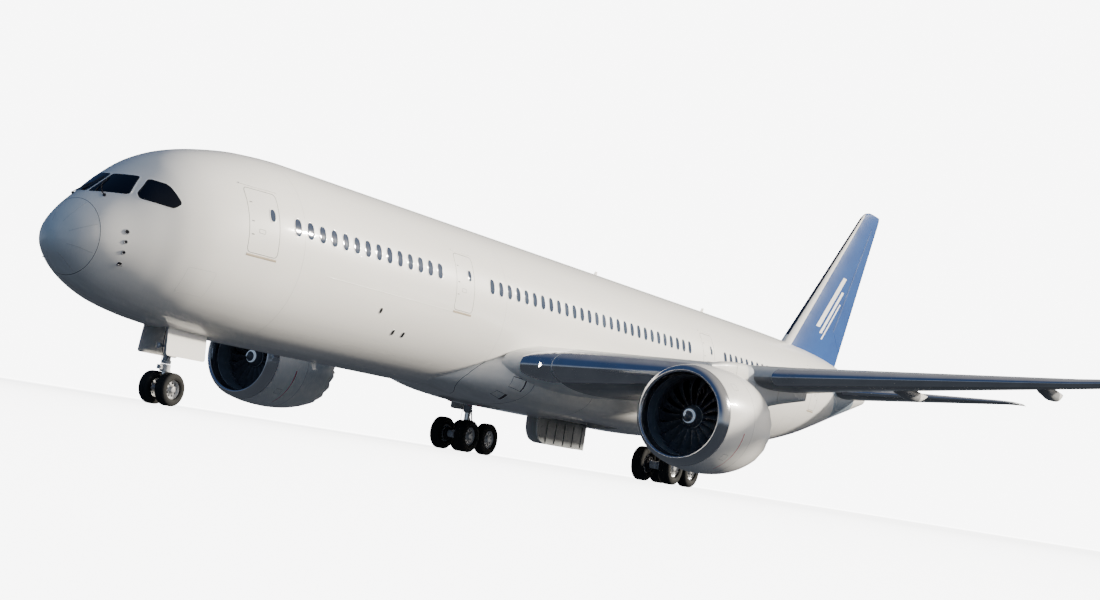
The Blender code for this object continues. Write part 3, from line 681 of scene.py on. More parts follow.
def tail_root_cream(tree, colour):
    """The stabiliser is cream next to the fuselage."""
    out = arithmetic(tree, "ABSOLUTE", along_axis(tree, "X"))
    return blend_colours(tree, remap(tree, out, 0.98, 1.0), (0.78, 0.765, 0.73), colour)


def pylon_scheme(tree, colour):
    """Pylons are white in front and blue-grey from the nozzle aft."""
    share = remap(tree, along_axis(tree, "Y"), model_y(24.95), model_y(25.05))
    return blend_colours(tree, share, colour, (0.42, 0.45, 0.49))


# The white's belly mask is grime streaks together with painted shade on the underside.
WHITE = worn("white_paint", (0.83, 0.815, 0.78), (0.79, 0.775, 0.74), (0.30, 0.40), stretch=AFT_STREAKS,
             coat=0.6, masks=(belly_grime_and_shade, tail_plate), specular=0.3)
DOOR_WHITE = worn("door_paint", (0.82, 0.805, 0.77), (0.78, 0.765, 0.73), (0.30, 0.40), stretch=AFT_STREAKS,
                  coat=0.5, specular=0.3)
NACELLE_WHITE = worn("nacelle_paint", (0.83, 0.815, 0.785), (0.77, 0.76, 0.73), (0.28, 0.38),
                     stretch=AFT_STREAKS, coat=0.6, specular=0.3)
PYLON_PAINT = worn("pylon_paint", (0.80, 0.79, 0.755), (0.75, 0.74, 0.71), (0.2, 0.3), scale=2.0,
                   stretch=AFT_STREAKS, coat=0.4, masks=(pylon_scheme,))
# Its top-light mask paints light on upper faces and shade on lower ones.
WING_GREY = worn("wing_paint", (0.27, 0.272, 0.28), (0.225, 0.228, 0.235), (0.26, 0.40), scale=1.1,
                 stretch=(1.0, 0.3, 1.0), coat=0.25, masks=(painted_top_light, root_white))
# Its top-light mask paints light on upper faces and shade on lower ones.
FLAP_GREY = worn("flap_paint", (0.22, 0.225, 0.235), (0.18, 0.185, 0.195), (0.26, 0.40),
                 stretch=AFT_STREAKS, coat=0.2, masks=(painted_top_light,))
FAIRING_REAR = worn("fairing_paint", (0.30, 0.305, 0.31), (0.25, 0.255, 0.26), (0.26, 0.38), scale=2.0,
                    stretch=AFT_STREAKS, coat=0.2)
FIN_PAINT = worn("fin_paint", (0.010, 0.058, 0.215), (0.008, 0.048, 0.190), (0.48, 0.58), scale=1.6,
                 stretch=(1, 0.5, 1), specular=0.12, masks=(fin_scheme,))
# Its top-light mask paints light on upper faces and shade on lower ones.
TAIL_GREY = worn("tail_paint", (0.20, 0.205, 0.215), (0.16, 0.165, 0.175), (0.26, 0.40), scale=1.3,
                 stretch=(1.0, 0.4, 1.0), coat=0.25, masks=(painted_top_light, tail_root_cream))
TIP_DARK = worn("edge_navy", (0.018, 0.022, 0.040), (0.030, 0.034, 0.055), (0.18, 0.30), scale=3.0, coat=0.4)
# Also the whiter lap joint strip on the lower side, partly a painted highlight.
SURROUND = worn("surround_white", (0.90, 0.89, 0.86), (0.86, 0.85, 0.82), (0.18, 0.28), scale=3.0, coat=0.4)
SEAM = worn("seam", (0.20, 0.20, 0.20), (0.13, 0.13, 0.13), (0.45, 0.6), scale=6.0)
FAINT_SEAM = worn("faint_seam", (0.64, 0.63, 0.60), (0.57, 0.56, 0.54), (0.3, 0.45), scale=6.0)
SILL = worn("sill_tan", (0.44, 0.37, 0.28), (0.36, 0.30, 0.23), (0.35, 0.5), scale=8.0)
RED = worn("red_marking", (0.50, 0.020, 0.060), (0.42, 0.018, 0.050), (0.25, 0.35), scale=9.0, coat=0.3)
# The spiral's faint blue glow is painted light, standing in for sky light it would catch in the inlet's
# shade.
SPIRAL_WITH_PAINTED_GLOW = worn("spiral_paint_and_painted_glow", (0.90, 0.90, 0.88), (0.84, 0.84, 0.83), (0.30, 0.40), scale=9.0,
              glow=((0.62, 0.78, 1.0), 0.30))

POLISHED = worn("polished_metal", (0.72, 0.73, 0.76), (0.62, 0.63, 0.66), (0.10, 0.22), metallic=1.0,
                scale=2.2, strength=0.03)
# Dark steel, also used for the painted shade of the wheel rims' openings.
DARK_STEEL_AND_HOLE_SHADE = worn("dark_steel_and_hole_shade", (0.075, 0.075, 0.08), (0.045, 0.045, 0.05), (0.30, 0.48), metallic=0.85,
                  scale=3.0)
NOZZLE = worn("nozzle_metal", (0.36, 0.33, 0.30), (0.22, 0.20, 0.185), (0.30, 0.46), metallic=0.75,
              scale=2.6, stretch=(1, 0.4, 1))
CHROME = worn("chrome", (0.80, 0.80, 0.80), (0.70, 0.70, 0.71), (0.06, 0.14), metallic=1.0, scale=4.0,
              strength=0.01)
RIM = worn("wheel_rim", (0.66, 0.66, 0.65), (0.50, 0.50, 0.50), (0.28, 0.42), metallic=0.6, scale=6.0)
BLADE = worn("blade_coating", (0.170, 0.170, 0.180), (0.110, 0.110, 0.120), (0.26, 0.38), metallic=0.2,
             scale=6.0)
BLADE_EDGE = worn("blade_edge", (0.22, 0.22, 0.23), (0.17, 0.17, 0.18), (0.34, 0.46), metallic=1.0, scale=6.0)
DUCT = worn("duct_liner", (0.170, 0.178, 0.195), (0.13, 0.136, 0.150), (0.30, 0.42), scale=4.0, fine=220.0,
            strength=0.25)
RUBSTRIP = worn("fan_case_strip", (0.16, 0.16, 0.17), (0.10, 0.10, 0.11), (0.45, 0.6), scale=5.0,
                fine=180.0, strength=0.2)
RUBBER = worn("tyre_rubber", (0.020, 0.020, 0.020), (0.032, 0.031, 0.029), (0.72, 0.90), scale=5.0,
              fine=160.0, strength=0.3, distance=0.001, specular=0.2)
GEAR_PAINT = worn("gear_paint", (0.60, 0.61, 0.62), (0.50, 0.51, 0.52), (0.30, 0.45), scale=4.0)
DOOR_INNER = worn("door_inner", (0.27, 0.28, 0.285), (0.20, 0.21, 0.215), (0.34, 0.48), scale=2.0)
BAY = worn("bay_primer", (0.20, 0.21, 0.17), (0.12, 0.125, 0.11), (0.5, 0.7), scale=4.0)
# Painted shade: the dark of openings, put on as a colour where there is no hollow.
PAINTED_MOUTH_SHADE = worn("painted_mouth_shade", (0.016, 0.016, 0.017), (0.026, 0.026, 0.027), (0.55, 0.75), scale=5.0)

GLASS = worn("dark_glass", (0.0015, 0.002, 0.005), (0.003, 0.004, 0.008), (0.05, 0.09), scale=0.8,
             strength=0.01)
CABIN_GLASS = worn("cabin_glass", (0.034, 0.046, 0.076), (0.046, 0.060, 0.094), (0.06, 0.10), scale=0.9,
                   strength=0.01, specular=0.3)
LAMP = worn("lamp_glass", (0.80, 0.82, 0.84), (0.70, 0.72, 0.75), (0.03, 0.08), metallic=0.7, scale=9.0,
            coat=1.0)
LIT_LAMP = worn("lit_lamp", (0.90, 0.90, 0.88), (0.84, 0.84, 0.82), (0.05, 0.10), scale=9.0, coat=1.0,
                glow=((1.0, 0.96, 0.88), 16.0))
GREEN = worn("green_lens", (0.02, 0.35, 0.12), (0.02, 0.28, 0.10), (0.06, 0.12), scale=9.0, coat=1.0)


# Fuselage

HULL = Curve(FUSELAGE, warp=0.5)
BELOW_EVERYTHING = -4.6


def hull_points(stations, angles, lift=0.0):
    """Points of the fuselage skin; an angle is 0 at the crown and grows towards port."""
    stations = np.asarray(stations, float)
    angles = np.asarray(angles, float)
    half, top, bottom = HULL.at(stations).T
    middle = (top + bottom) / 2
    rise = (top - bottom) / 2
    points = np.stack([half * np.sin(angles), stations, middle + rise * np.cos(angles)], axis=-1)
    if np.any(lift):
        points = points + hull_normals(stations, angles) * np.asarray(lift)[..., None]
    return points


def hull_normals(stations, angles):
    step = 1e-3
    ahead = hull_points(stations + step, angles) - hull_points(np.maximum(stations - step, 0.0), angles)
    around = hull_points(stations, angles + step) - hull_points(stations, angles - step)
    normal = np.cross(around, ahead)
    return normal / np.linalg.norm(normal, axis=-1, keepdims=True)


def hull_spots(side, spots, lift=0.0):
    """Skin points and normals for a list of (station, height) on one side."""
    stations, heights = np.array(spots, float).T
    _, top, bottom = HULL.at(stations).T
    share = np.clip((heights - (top + bottom) / 2) / ((top - bottom) / 2), -1.0, 1.0)
    angles = side * np.arccos(share)
    return hull_points(stations, angles, np.full(len(spots), lift)), hull_normals(stations, angles)


def hull_spot(side, station, height):
    points, normals = hull_spots(side, [(station, height)])
    return points[0], normals[0]


def hull_stations(front, rear):
    """Stations that crowd towards the nose tip and spread out along the cabin."""
    cabin_start, cabin_end = FUSELAGE[10][0], FUSELAGE[11][0]
    early = np.linspace(0.0, 1.0, 84) ** 2 * cabin_start
    cabin, late = np.arange(cabin_start, cabin_end, 0.6), np.arange(cabin_end, LENGTH, 0.25)
    every = np.concatenate([early, cabin, late, [LENGTH]])
    inner = every[(every > front + 0.01) & (every < rear - 0.01)]
    return np.concatenate([[front], inner, [rear]])


def hull_solid(name, front, rear, lift=0.0):
    angles = np.linspace(0.0, 2 * math.pi, HULL_SIDES, endpoint=False)
    rings = [hull_points(np.full(HULL_SIDES, y), angles, np.full(HULL_SIDES, lift))
             for y in hull_stations(front, rear)]
    return Shape().loft(rings).build(name)


def lined_block(low, high, material):
    """A cutting block whose finish the walls of its cut take on."""
    tool = Shape().loft(block_points(low, high)).build("well")
    tool.data.materials.append(material)
    return tool


def main_well_tool(side):
    inner, outer, front, rear, roof = MAIN_WELL
    ends = sorted((side * inner, side * outer))
    return lined_block((ends[0], front, BELOW_EVERYTHING), (ends[1], rear, roof), BAY)


def nose_well_tool():
    half, front, rear, roof = NOSE_WELL
    return lined_block((-half, front, BELOW_EVERYTHING), (half, rear, roof), BAY)


def pane_tool(corners, axis, side, amount, radius):
    """A pane's rounded outline, swollen by an amount and pushed through the nose along one axis."""
    middle = sum(np.array(c, float) for c in corners) / len(corners)
    swollen = []
    for corner in corners:
        away = np.array(corner, float) - middle
        swollen.append(middle + away * (1 + amount / np.linalg.norm(away)))
    outline = rounded(swollen, radius)
    if axis == "Y":
        rings = [[(side * x, y, z) for x, z in outline] for y in (0.9, 4.6)]
    else:
        rings = [[(side * x, y, z) for y, z in outline] for x in (0.9, 3.2)]
    return Shape().loft(rings).build("tool")


def cockpit_glazing():
    """Four flush panes, each in a dark seal with a white rim."""
    # Lift off the skin, then the outline's growth and corner radius
    layers = (
        ("rim", SURROUND, 0.004, 0.060, 0.13),
        ("seal", RUBBER, 0.0015, 0.024, 0.10),
        ("pane", GLASS, 0.003, -0.002, 0.09),
    )
    for side, word in SIDES:
        for title, corners, axis in (("windscreen", FRONT_PANE, "Y"), ("side_window", SIDE_PANE, "X")):
            node = f"{title}_{word}"
            for layer, material, lift, growth, radius in layers:
                body = hull_solid(f"{title}_{layer}_{word}", 0.8, 4.8, lift)
                keep(body, pane_tool(corners, axis, side, growth, radius))
                if layer == "rim":
                    cut(body, pane_tool(corners, axis, side, 0.022, 0.10))
                shade(body, 30)
                dress(body, material, slot=node, stands_for=node if layer == "pane" else ())


def cargo_door_tool(front, rear, bottom, top, gap):
    low, high = (-3.6, front + gap, bottom + gap), (-1.0, rear - gap, top - gap)
    return Shape().loft(block_points(low, high)).build("tool")


def cargo_door(hull, name, front, rear, bottom, top):
    """Cut a door's pocket into the skin, and make the curved door that fills it."""
    gap = 0.012
    pocket = cargo_door_tool(front, rear, bottom, top, 0.0)
    cut(pocket, hull_solid("inner", front - 0.5, rear + 0.5, -(DOOR_THICKNESS + 0.02)))
    pocket.data.materials.append(SEAM)
    cut(hull, pocket)
    door = hull_solid(f"{name}_skin", front + gap, rear - gap)
    keep(door, cargo_door_tool(front, rear, bottom, top, gap))
    cut(door, hull_solid("inner", front - 0.5, rear + 0.5, -DOOR_THICKNESS))
    shade(door, 30)
    dress(door, DOOR_WHITE, rides=name, stands_for=name)


def fuselage():
    gap = 0.004
    dress(hull_solid("radome_skin", 0.0, RADOME_END - gap), WHITE, stands_for="radome")
    hull = hull_solid("fuselage_skin", RADOME_END + gap, LENGTH)
    hull.data.materials.append(WHITE)
    cut(hull, nose_well_tool())
    for side, _ in SIDES:
        cut(hull, main_well_tool(side))
    for row in CARGO_DOORS:
        cargo_door(hull, *row)
    shade(hull, 30)
    sections = ["nose_section", "forward_fuselage", "centre_fuselage", "aft_fuselage", "tail_section",
                "tail_cone"]
    dress(hull, WHITE, slot="forward_fuselage", stands_for=sections)
    cockpit_glazing()


def around(front, rear, bottom, top, radius, steps=10):
    """A rounded rectangle on the skin as (station, height), evenly stepped."""
    corners = [(front, bottom), (rear, bottom), (rear, top), (front, top)]
    return along_edges(rounded(corners, radius, steps), spacing=0.12)


def oval(station, height, half_width, half_height, power=2.6):
    return [(station + half_width * blunted(math.cos(a), 2 / power),
             height + half_height * blunted(math.sin(a), 2 / power)) for a in turns(28)]


def skin_ribbon(shape, side, spots, width, height, closed=False):
    points, normals = hull_spots(side, spots)
    return ribbon(shape, points, normals, width, height, closed=closed)


def skin_line(shape, stations, angle, width, height):
    """A strip along the fuselage at one angle."""
    angles = np.full(len(stations), angle)
    return ribbon(shape, hull_points(stations, angles), hull_normals(stations, angles), width, height)


def skin_hoop(shape, station, width, height):
    """A strip all round the fuselage at one station."""
    angles = np.linspace(0.0, 2 * math.pi, 120)[:-1]
    stations = np.full(len(angles), station)
    normals = hull_normals(stations, angles)
    return ribbon(shape, hull_points(stations, angles), normals, width, height, closed=True)


def skin_patch(shape, side, outline, lift, depth=0.02):
    """A raised plate on the skin inside an outline of (station, height)."""
    rises = (-depth, lift * 0.7, lift, lift, lift)
    rings = shrunk_outlines(outline, (1.0, 1.0, 0.94, 0.6, 0.25))
    return shape.loft([hull_spots(side, ring, rise)[0] for ring, rise in zip(rings, rises)])


def small_window(panes, rims, side, station, height, half, tall, lift):
    skin_patch(panes, side, oval(station, height, half, tall), lift)
    rim = oval(station, height, half + 0.020, tall + 0.020)
    skin_ribbon(rims, side, rim, 0.036, lift + 0.003, closed=True)


def cabin_windows():
    stations = [start + k * WINDOW_PITCH for start, count in WINDOW_GROUPS for k in range(count)]
    for side, word in SIDES:
        panes, rims = Shape(), Shape()
        for station in stations:
            small_window(panes, rims, side, station, WINDOW_HEIGHT, *WINDOW_SIZE, 0.003)
        panes.piece(f"cabin_panes_{word}", CABIN_GLASS)
        rims.piece(f"cabin_rims_{word}", SURROUND)


def passenger_doors():
    """Door outlines with their gutters, sills, small panes and handles."""
    for side, word in SIDES:
        lines, sills, panes, rims, gutters = Shape(), Shape(), Shape(), Shape(), Shape()
        for front, rear, bottom, top, share in PASSENGER_DOORS:
            wide = rear - front
            pane_forward = share < 0.5
            skin_ribbon(lines, side, around(front, rear, bottom, top, 0.16), 0.020, 0.0025, closed=True)
            gutter = [(y, top + 0.085) for y in spaced(front - 0.10, rear + 0.10, 9)]
            skin_ribbon(gutters, side, gutter, 0.045, 0.022)
            skin_ribbon(sills, side, [(y, bottom - 0.075) for y in spaced(front, rear, 9)], 0.075, 0.008)
            small_window(panes, rims, side, front + wide * share, 0.93, 0.110, 0.185, 0.004)
            hinge_y = front + wide * (0.88 if pane_forward else 0.12)
            for height in (bottom + 0.55, 0.62, 1.18):
                skin_ribbon(lines, side, [(hinge_y - 0.05, height), (hinge_y + 0.05, height)], 0.03, 0.006)
            handle = front + wide * (0.58 if pane_forward else 0.42)
            recess = around(handle - 0.13, handle + 0.13, 0.30, 0.42, 0.04, 4)
            skin_ribbon(lines, side, recess, 0.012, 0.003, closed=True)
        lines.piece(f"door_lines_{word}", SEAM)
        sills.piece(f"door_sills_{word}", SILL)
        panes.piece(f"door_panes_{word}", CABIN_GLASS)
        rims.piece(f"door_rims_{word}", SURROUND)
        gutters.piece(f"door_gutters_{word}", SURROUND)


def nose_spot(side, x, z):
    """The skin point at a distance from the middle and a height, ahead of the cabin."""
    low, high = 0.2, 6.0
    for _ in range(40):
        middle = (low + high) / 2
        if side * hull_spot(side, middle, z)[0][0] < x:
            low = middle
        else:
            high = middle
    return hull_spot(side, middle, z)


def wipers():
    pivot = (0.62, 0.40)
    for side, word in SIDES:
        arms, blades = Shape(), Shape()
        spots = [nose_spot(side, x, z) for x, z in (pivot, (0.50, 0.47), (0.34, 0.60), (0.20, 0.74))]
        tube(arms, [point + normal * 0.045 for point, normal in spots], 0.016, 8)
        spots = [nose_spot(side, 0.10 + 0.16 * t, 1.02 - 0.50 * t) for t in spaced(0.0, 1.0, 9)]
        tube(blades, [point + normal * 0.030 for point, normal in spots], 0.014, 8)
        point, normal = nose_spot(side, *pivot)
        rod(arms, point - normal * 0.02, point + normal * 0.055, 0.045, 18, 0.006)
        arms.piece(f"wiper_arm_{word}", DARK_STEEL_AND_HOLE_SHADE, slot=f"windscreen_{word}")
        blades.piece(f"wiper_blade_{word}", RUBBER, slot=f"windscreen_{word}")


def probes():
    """Static ports and an air data probe beside the nose, and drain ports behind it."""
    probe = (1.44, -1.46)
    for side, word in SIDES:
        rims, dark = Shape(), Shape()
        for station, height, size in ((1.40, -0.54, 0.050), (1.40, -0.83, 0.038), (1.42, -1.13, 0.038)):
            rim = oval(station, height, size + 0.012, size + 0.012, power=2.0)
            skin_patch(dark, side, oval(station, height, size, size, power=2.0), 0.006)
            skin_ribbon(rims, side, rim, 0.026, 0.012, closed=True)
        skin_patch(dark, side, oval(*probe, 0.055, 0.045, power=4.0), 0.012)
        spot, normal = hull_spot(side, *probe)
        tip = spot + normal * 0.13
        rod(dark, spot, tip, 0.022, 14, 0.003)
        rod(dark, tip + np.array((0, 0.05, 0)), tip - np.array((0, 0.16, 0)), 0.016, 12, 0.003)
        for station, height in ((12.20, -1.04), (13.42, -1.62), (14.01, -1.62)):
            skin_patch(dark, side, oval(station, height, 0.052, 0.082), 0.004)
            skin_ribbon(rims, side, oval(station, height, 0.064, 0.094), 0.022, 0.008, closed=True)
        rims.piece(f"probe_rims_{word}", RIM, slot="nose_section")
        dark.piece(f"probes_{word}", DARK_STEEL_AND_HOLE_SHADE, slot="nose_section")


def blade_aerials():
    """Swept blades: station, angle round the fuselage, height, length."""
    blades = Shape()
    for station, angle, tall, long in ((30.5, 0.0, 0.20, 0.34), (41.0, 0.0, 0.24, 0.36),
                                       (42.9, math.pi + 0.17, 0.32, 0.20), (12.6, math.pi, 0.24, 0.34)):
        foot = hull_points([station], [angle])[0]
        normal = hull_normals(np.array([station]), np.array([angle]))[0]
        across = np.cross(normal, (0.0, 1.0, 0.0))
        rings = []
        for share in (-0.15, 0.0, 0.35, 0.7, 0.93, 1.0):
            above = max(share, 0.0)
            chord = long * (1 - 0.45 * above) * (0.55 if share == 1.0 else 1.0)
            start = foot + normal * tall * share + np.array((0, 0.42 * tall * above, 0))
            rings.append([start + np.array((0, chord * 0.5 * math.cos(t), 0)) + across * 0.020 * math.sin(t)
                          for t in turns(20)])
        blades.loft(rings)
    blades.piece("blade_aerials", SURROUND, 50)


def tail_exhaust():
    """A metal rim and a dark mouth at the end of the tail cone; the dark disc is painted shade standing for
    the inside of the open exhaust.
    """
    half, top, bottom = HULL.at(LENGTH)
    middle, rise = (top + bottom) / 2, (top - bottom) / 2

    def mouth(station, share):
        return [(half * share * math.sin(a), LENGTH + station, middle + rise * share * math.cos(a))
                for a in turns(40)]

    rim = [mouth(-0.04, 0.95), mouth(0.010, 0.93), mouth(0.010, 0.84), mouth(-0.04, 0.84)]
    dark = [mouth(-0.04, 0.86), mouth(0.002, 0.86), mouth(0.002, 0.30)]
    Shape().loft(rim, wrap=True).piece("tail_exhaust_rim", NOZZLE, 40, slot="tail_cone")
    Shape().loft(dark).piece("tail_exhaust_mouth_shade", PAINTED_MOUTH_SHADE, 40, slot="tail_cone")


def seams():
    """Skin joints, hatches, the radome's edge and its lightning strips; the low lap joint is a raised lip in
    a whiter finish, partly a painted highlight.
    """
    dark, faint, lap_highlight = Shape(), Shape(), Shape()
    skin_hoop(dark, RADOME_END, 0.016, 0.0015)
    for angle in turns(8, 0.5):
        skin_line(faint, np.linspace(0.16, RADOME_END - 0.05, 10), angle, 0.016, 0.004)
    for station in SECTION_JOINTS:
        skin_hoop(faint, station, 0.018, 0.0015)
    for side, _ in SIDES:
        for angle in (0.50, 2.45):
            skin_line(faint, np.linspace(7.6, 52.0, 90), side * angle, 0.012, 0.0012)
        skin_ribbon(faint, side, around(3.3, 4.3, -1.9, -1.15, 0.08, 4), 0.010, 0.0015, closed=True)
        skin_ribbon(faint, side, around(52.2, 53.6, -0.55, 0.35, 0.10, 4), 0.012, 0.0015, closed=True)
        for path in (((54.30, 0.46), (55.10, 0.06), (56.25, 0.11), (57.60, 0.52), (58.90, 0.90)),
                     ((53.20, 0.70), (54.30, 0.46))):
            skin_ribbon(faint, side, line_through(path, 6), 0.020, 0.003)
        # A raised lip that catches real light, made whiter than the skin as a painted highlight.
        skin_ribbon(lap_highlight, side, [(station, -0.45) for station in spaced(8.9, 17.3, 43)], 0.024, 0.006)
    skin_ribbon(faint, 1, around(46.6, 48.3, -2.0, -1.05, 0.12, 5), 0.016, 0.002, closed=True)
    lap_highlight.piece("lap_joints_painted_highlight", SURROUND, slot="forward_fuselage")
    dark.piece("radome_seam", SEAM, slot="radome")
    faint.piece("skin_seams", FAINT_SEAM)


# Belly fairing

UNDERBODY = Curve(FAIRING)


def fairing_point(station, angle):
    """A point on the underbody; an angle is 0 at the top and grows to port."""
    half, top, bottom = UNDERBODY.at(station)
    across = blunted(math.sin(angle), FAIRING_ROUNDING)
    up = blunted(math.cos(angle), FAIRING_ROUNDING)
    return np.array((half * across, station, (top + bottom) / 2 + (top - bottom) / 2 * up))


def fairing_normal(station, angle):
    step = 0.01
    ahead = fairing_point(station + step, angle) - fairing_point(station - step, angle)
    around_it = fairing_point(station, angle + step) - fairing_point(station, angle - step)
    return unit(np.cross(around_it, ahead))


def fairing_strip(shape, side, spots, width, height, closed=False):
    """A strip on the underbody through a list of (station, angle)."""
    points = [fairing_point(station, side * angle) for station, angle in spots]
    normals = [fairing_normal(station, side * angle) for station, angle in spots]
    ribbon(shape, points, normals, width, height, closed=closed)


def fairing_details():
    """Air inlets and joints on the underbody, and its red lamps; the inlets' slots are dark strips of painted
    shade.
    """
    # Four corners of each inlet as station and angle, and how wide its dark slot is, a strip of painted shade
    # on the skin
    inlets = (
        ([(20.72, 1.61), (21.41, 1.672), (21.45, 2.01), (20.69, 1.907)], 0.06),
        ([(20.44, 2.134), (21.04, 2.217), (21.25, 2.452), (20.47, 2.328)], 0.13),
    )
    front_joint = ((19.90, 1.10), (19.30, 1.362), (18.85, 1.817), (19.05, 2.40), (19.92, 2.914))
    for side, word in SIDES:
        lines, slot_shades = Shape(), Shape()
        for corners, width in inlets:
            outline = along_edges(corners)
            fairing_strip(lines, side, outline, 0.016, 0.003, closed=True)
            fairing_strip(slot_shades, side, outline[8:17], width, 0.006)
        sill = list(zip(spaced(20.72, 21.87, 11), spaced(1.61, 1.693, 11)))
        fairing_strip(lines, side, sill, 0.028, 0.003)
        fairing_strip(lines, side, line_through(front_joint, 8), 0.020, 0.003)
        for station, width, height in ((21.92, 0.018, 0.003), (26.2, 0.014, 0.002), (34.4, 0.014, 0.002),
                                       (36.4, 0.014, 0.002)):
            fairing_strip(lines, side, [(station, angle) for angle in spaced(1.42, 3.08, 41)], width, height)
        lines.piece(f"fairing_lines_{word}", SEAM, slot="belly_fairing")
        slot_shades.piece(f"air_inlet_slot_shades_{word}", PAINTED_MOUTH_SHADE, slot="belly_fairing")
    lamps = Shape()
    for station, angle in ((22.7, 3.08), (22.6, -2.90), (23.7, -2.97)):
        outline = [(station + 0.15 * math.cos(t), angle + 0.022 * math.sin(t)) for t in turns(24)]
        rings = zip(shrunk_outlines(outline, (1.0, 1.0, 0.85, 0.4)), (-0.02, 0.008, 0.022, 0.03))
        lamps.loft([[fairing_point(*spot) + fairing_normal(*spot) * rise for spot in ring]
                    for ring, rise in rings])
    lamps.piece("belly_lamps", RED, 40, slot="belly_fairing")


def fairing():
    front, wide_start, wide_end, rear = (FAIRING[row][0] for row in (0, 3, 4, 7))
    stations = np.concatenate([np.linspace(front, wide_start, 40),
                               np.linspace(wide_start + 0.3, wide_end - 0.3, 26),
                               np.linspace(wide_end, rear, 40)])
    rings = [[fairing_point(station, turn) for turn in turns(96)] for station in stations]
    body = Shape().loft(rings).build("fairing_skin")
    body.data.materials.append(WHITE)
    for side, _ in SIDES:
        cut(body, main_well_tool(side))
    shade(body, 30)
    dress(body, WHITE, stands_for="belly_fairing")
    fairing_details()


# Wings and tail

def half_thickness(share):
    """The thickness of a common wing section, as a share of its chord."""
    curve = 0.2969 * math.sqrt(share) - 0.126 * share - 0.3516 * share ** 2
    return 5 * (curve + 0.2843 * share ** 3 - 0.1015 * share ** 4)


def with_round_tip(rows, straight, steps=5):
    """The table with more rows where its tip curves."""
    curve = Curve(rows[straight - 1:])
    fine = list(rows[:straight])
    keys = [row[0] for row in rows[straight - 1:]]
    for a, b in zip(keys, keys[1:]):
        for key in spaced(a, b, steps + 1)[1:]:
            fine.append((key, *curve.at(key)))
    return tuple(fine)


FINE = {id(WING): with_round_tip(WING, WING_STRAIGHT),
        id(STABILISER): with_round_tip(STABILISER, TAIL_STRAIGHT),
        id(FIN): with_round_tip(FIN, TAIL_STRAIGHT)}
FINE_STEPS = tuple(0.5 * (1 - math.cos(angle)) for angle in spaced(0.0, math.pi, 27))


def neighbours(rows, key):
    if key <= rows[0][0]:
        return rows[0], rows[1]
    return [pair for pair in zip(rows, rows[1:]) if pair[0][0] < key][-1]


def between(rows, key, column):
    near, far = neighbours(rows, key)
    share = (key - near[0]) / (far[0] - near[0])
    return near[column] + share * (far[column] - near[column])


def chord_of(rows, key):
    return between(rows, key, 2) - between(rows, key, 1)


def row_point(rows, row, side, share, face):
    """A point on one section; face is 1 for the top and -1 for the bottom."""
    key, lead, trail, height, ratio, rise, lean = row
    chord = trail - lead
    thick = face * chord * (ratio * half_thickness(share) + BLUNT_EDGE * share)
    if rows is FIN:
        return np.array((thick, lead + chord * share, key))
    out = thick * math.sin(math.radians(lean))
    up = thick * math.cos(math.radians(lean))
    lift = chord * CAMBER * share * (1 - share) + rise * share
    return np.array((side * (key - out), lead + chord * share, height + lift + up))


def foil_point(rows, side, key, share, face):
    near, far = neighbours(FINE[id(rows)], key)
    start, end = [row_point(rows, row, side, share, face) for row in (near, far)]
    return start + (end - start) * (key - near[0]) / (far[0] - near[0])


def thick_way(rows):
    """The direction across the thickness: sideways on the fin, up elsewhere."""
    return np.array((1.0, 0, 0)) if rows is FIN else np.array((0, 0, 1.0))


def foil_normal(rows, side, key, share, face):
    step = 0.004
    low, high = max(share - step, 0.0), min(share + step, 1.0)
    along = foil_point(rows, side, key, high, face) - foil_point(rows, side, key, low, face)
    out = foil_point(rows, side, key + 0.02, share, face) - foil_point(rows, side, key - 0.02, share, face)
    normal = unit(np.cross(out, along))
    return normal * face if normal.dot(thick_way(rows)) > 0 else -normal * face


def raised_point(rows, side, key, share, face, rise, least=0.002):
    """A point that stands proud of a foil; right at the leading edge it stands ahead of it."""
    normal = np.array((0, -1.0, 0))
    if share:
        normal = foil_normal(rows, side, key, max(share, least), face)
    return foil_point(rows, side, key, share, face) + normal * rise


def nose_order(shares):
    """Shares of the chord taken forward over the top and back underneath."""
    return [(share, 1) for share in reversed(shares)] + [(share, -1) for share in shares[1:]]


def foil_ring(rows, side, key):
    return [foil_point(rows, side, key, share, face) for share, face in nose_order(FINE_STEPS)]


def foil_keys(rows, start, end, spacing=1.0):
    """Stations between two ends, with every row of the table among them."""
    own = [row[0] for row in FINE[id(rows)] if start < row[0] < end]
    keys = [start] + own + [end]
    out = []
    for a, b in zip(keys, keys[1:]):
        parts = max(1, int((b - a) / spacing))
        out.extend(a + (b - a) * k / parts for k in range(parts))
    return out + [end]


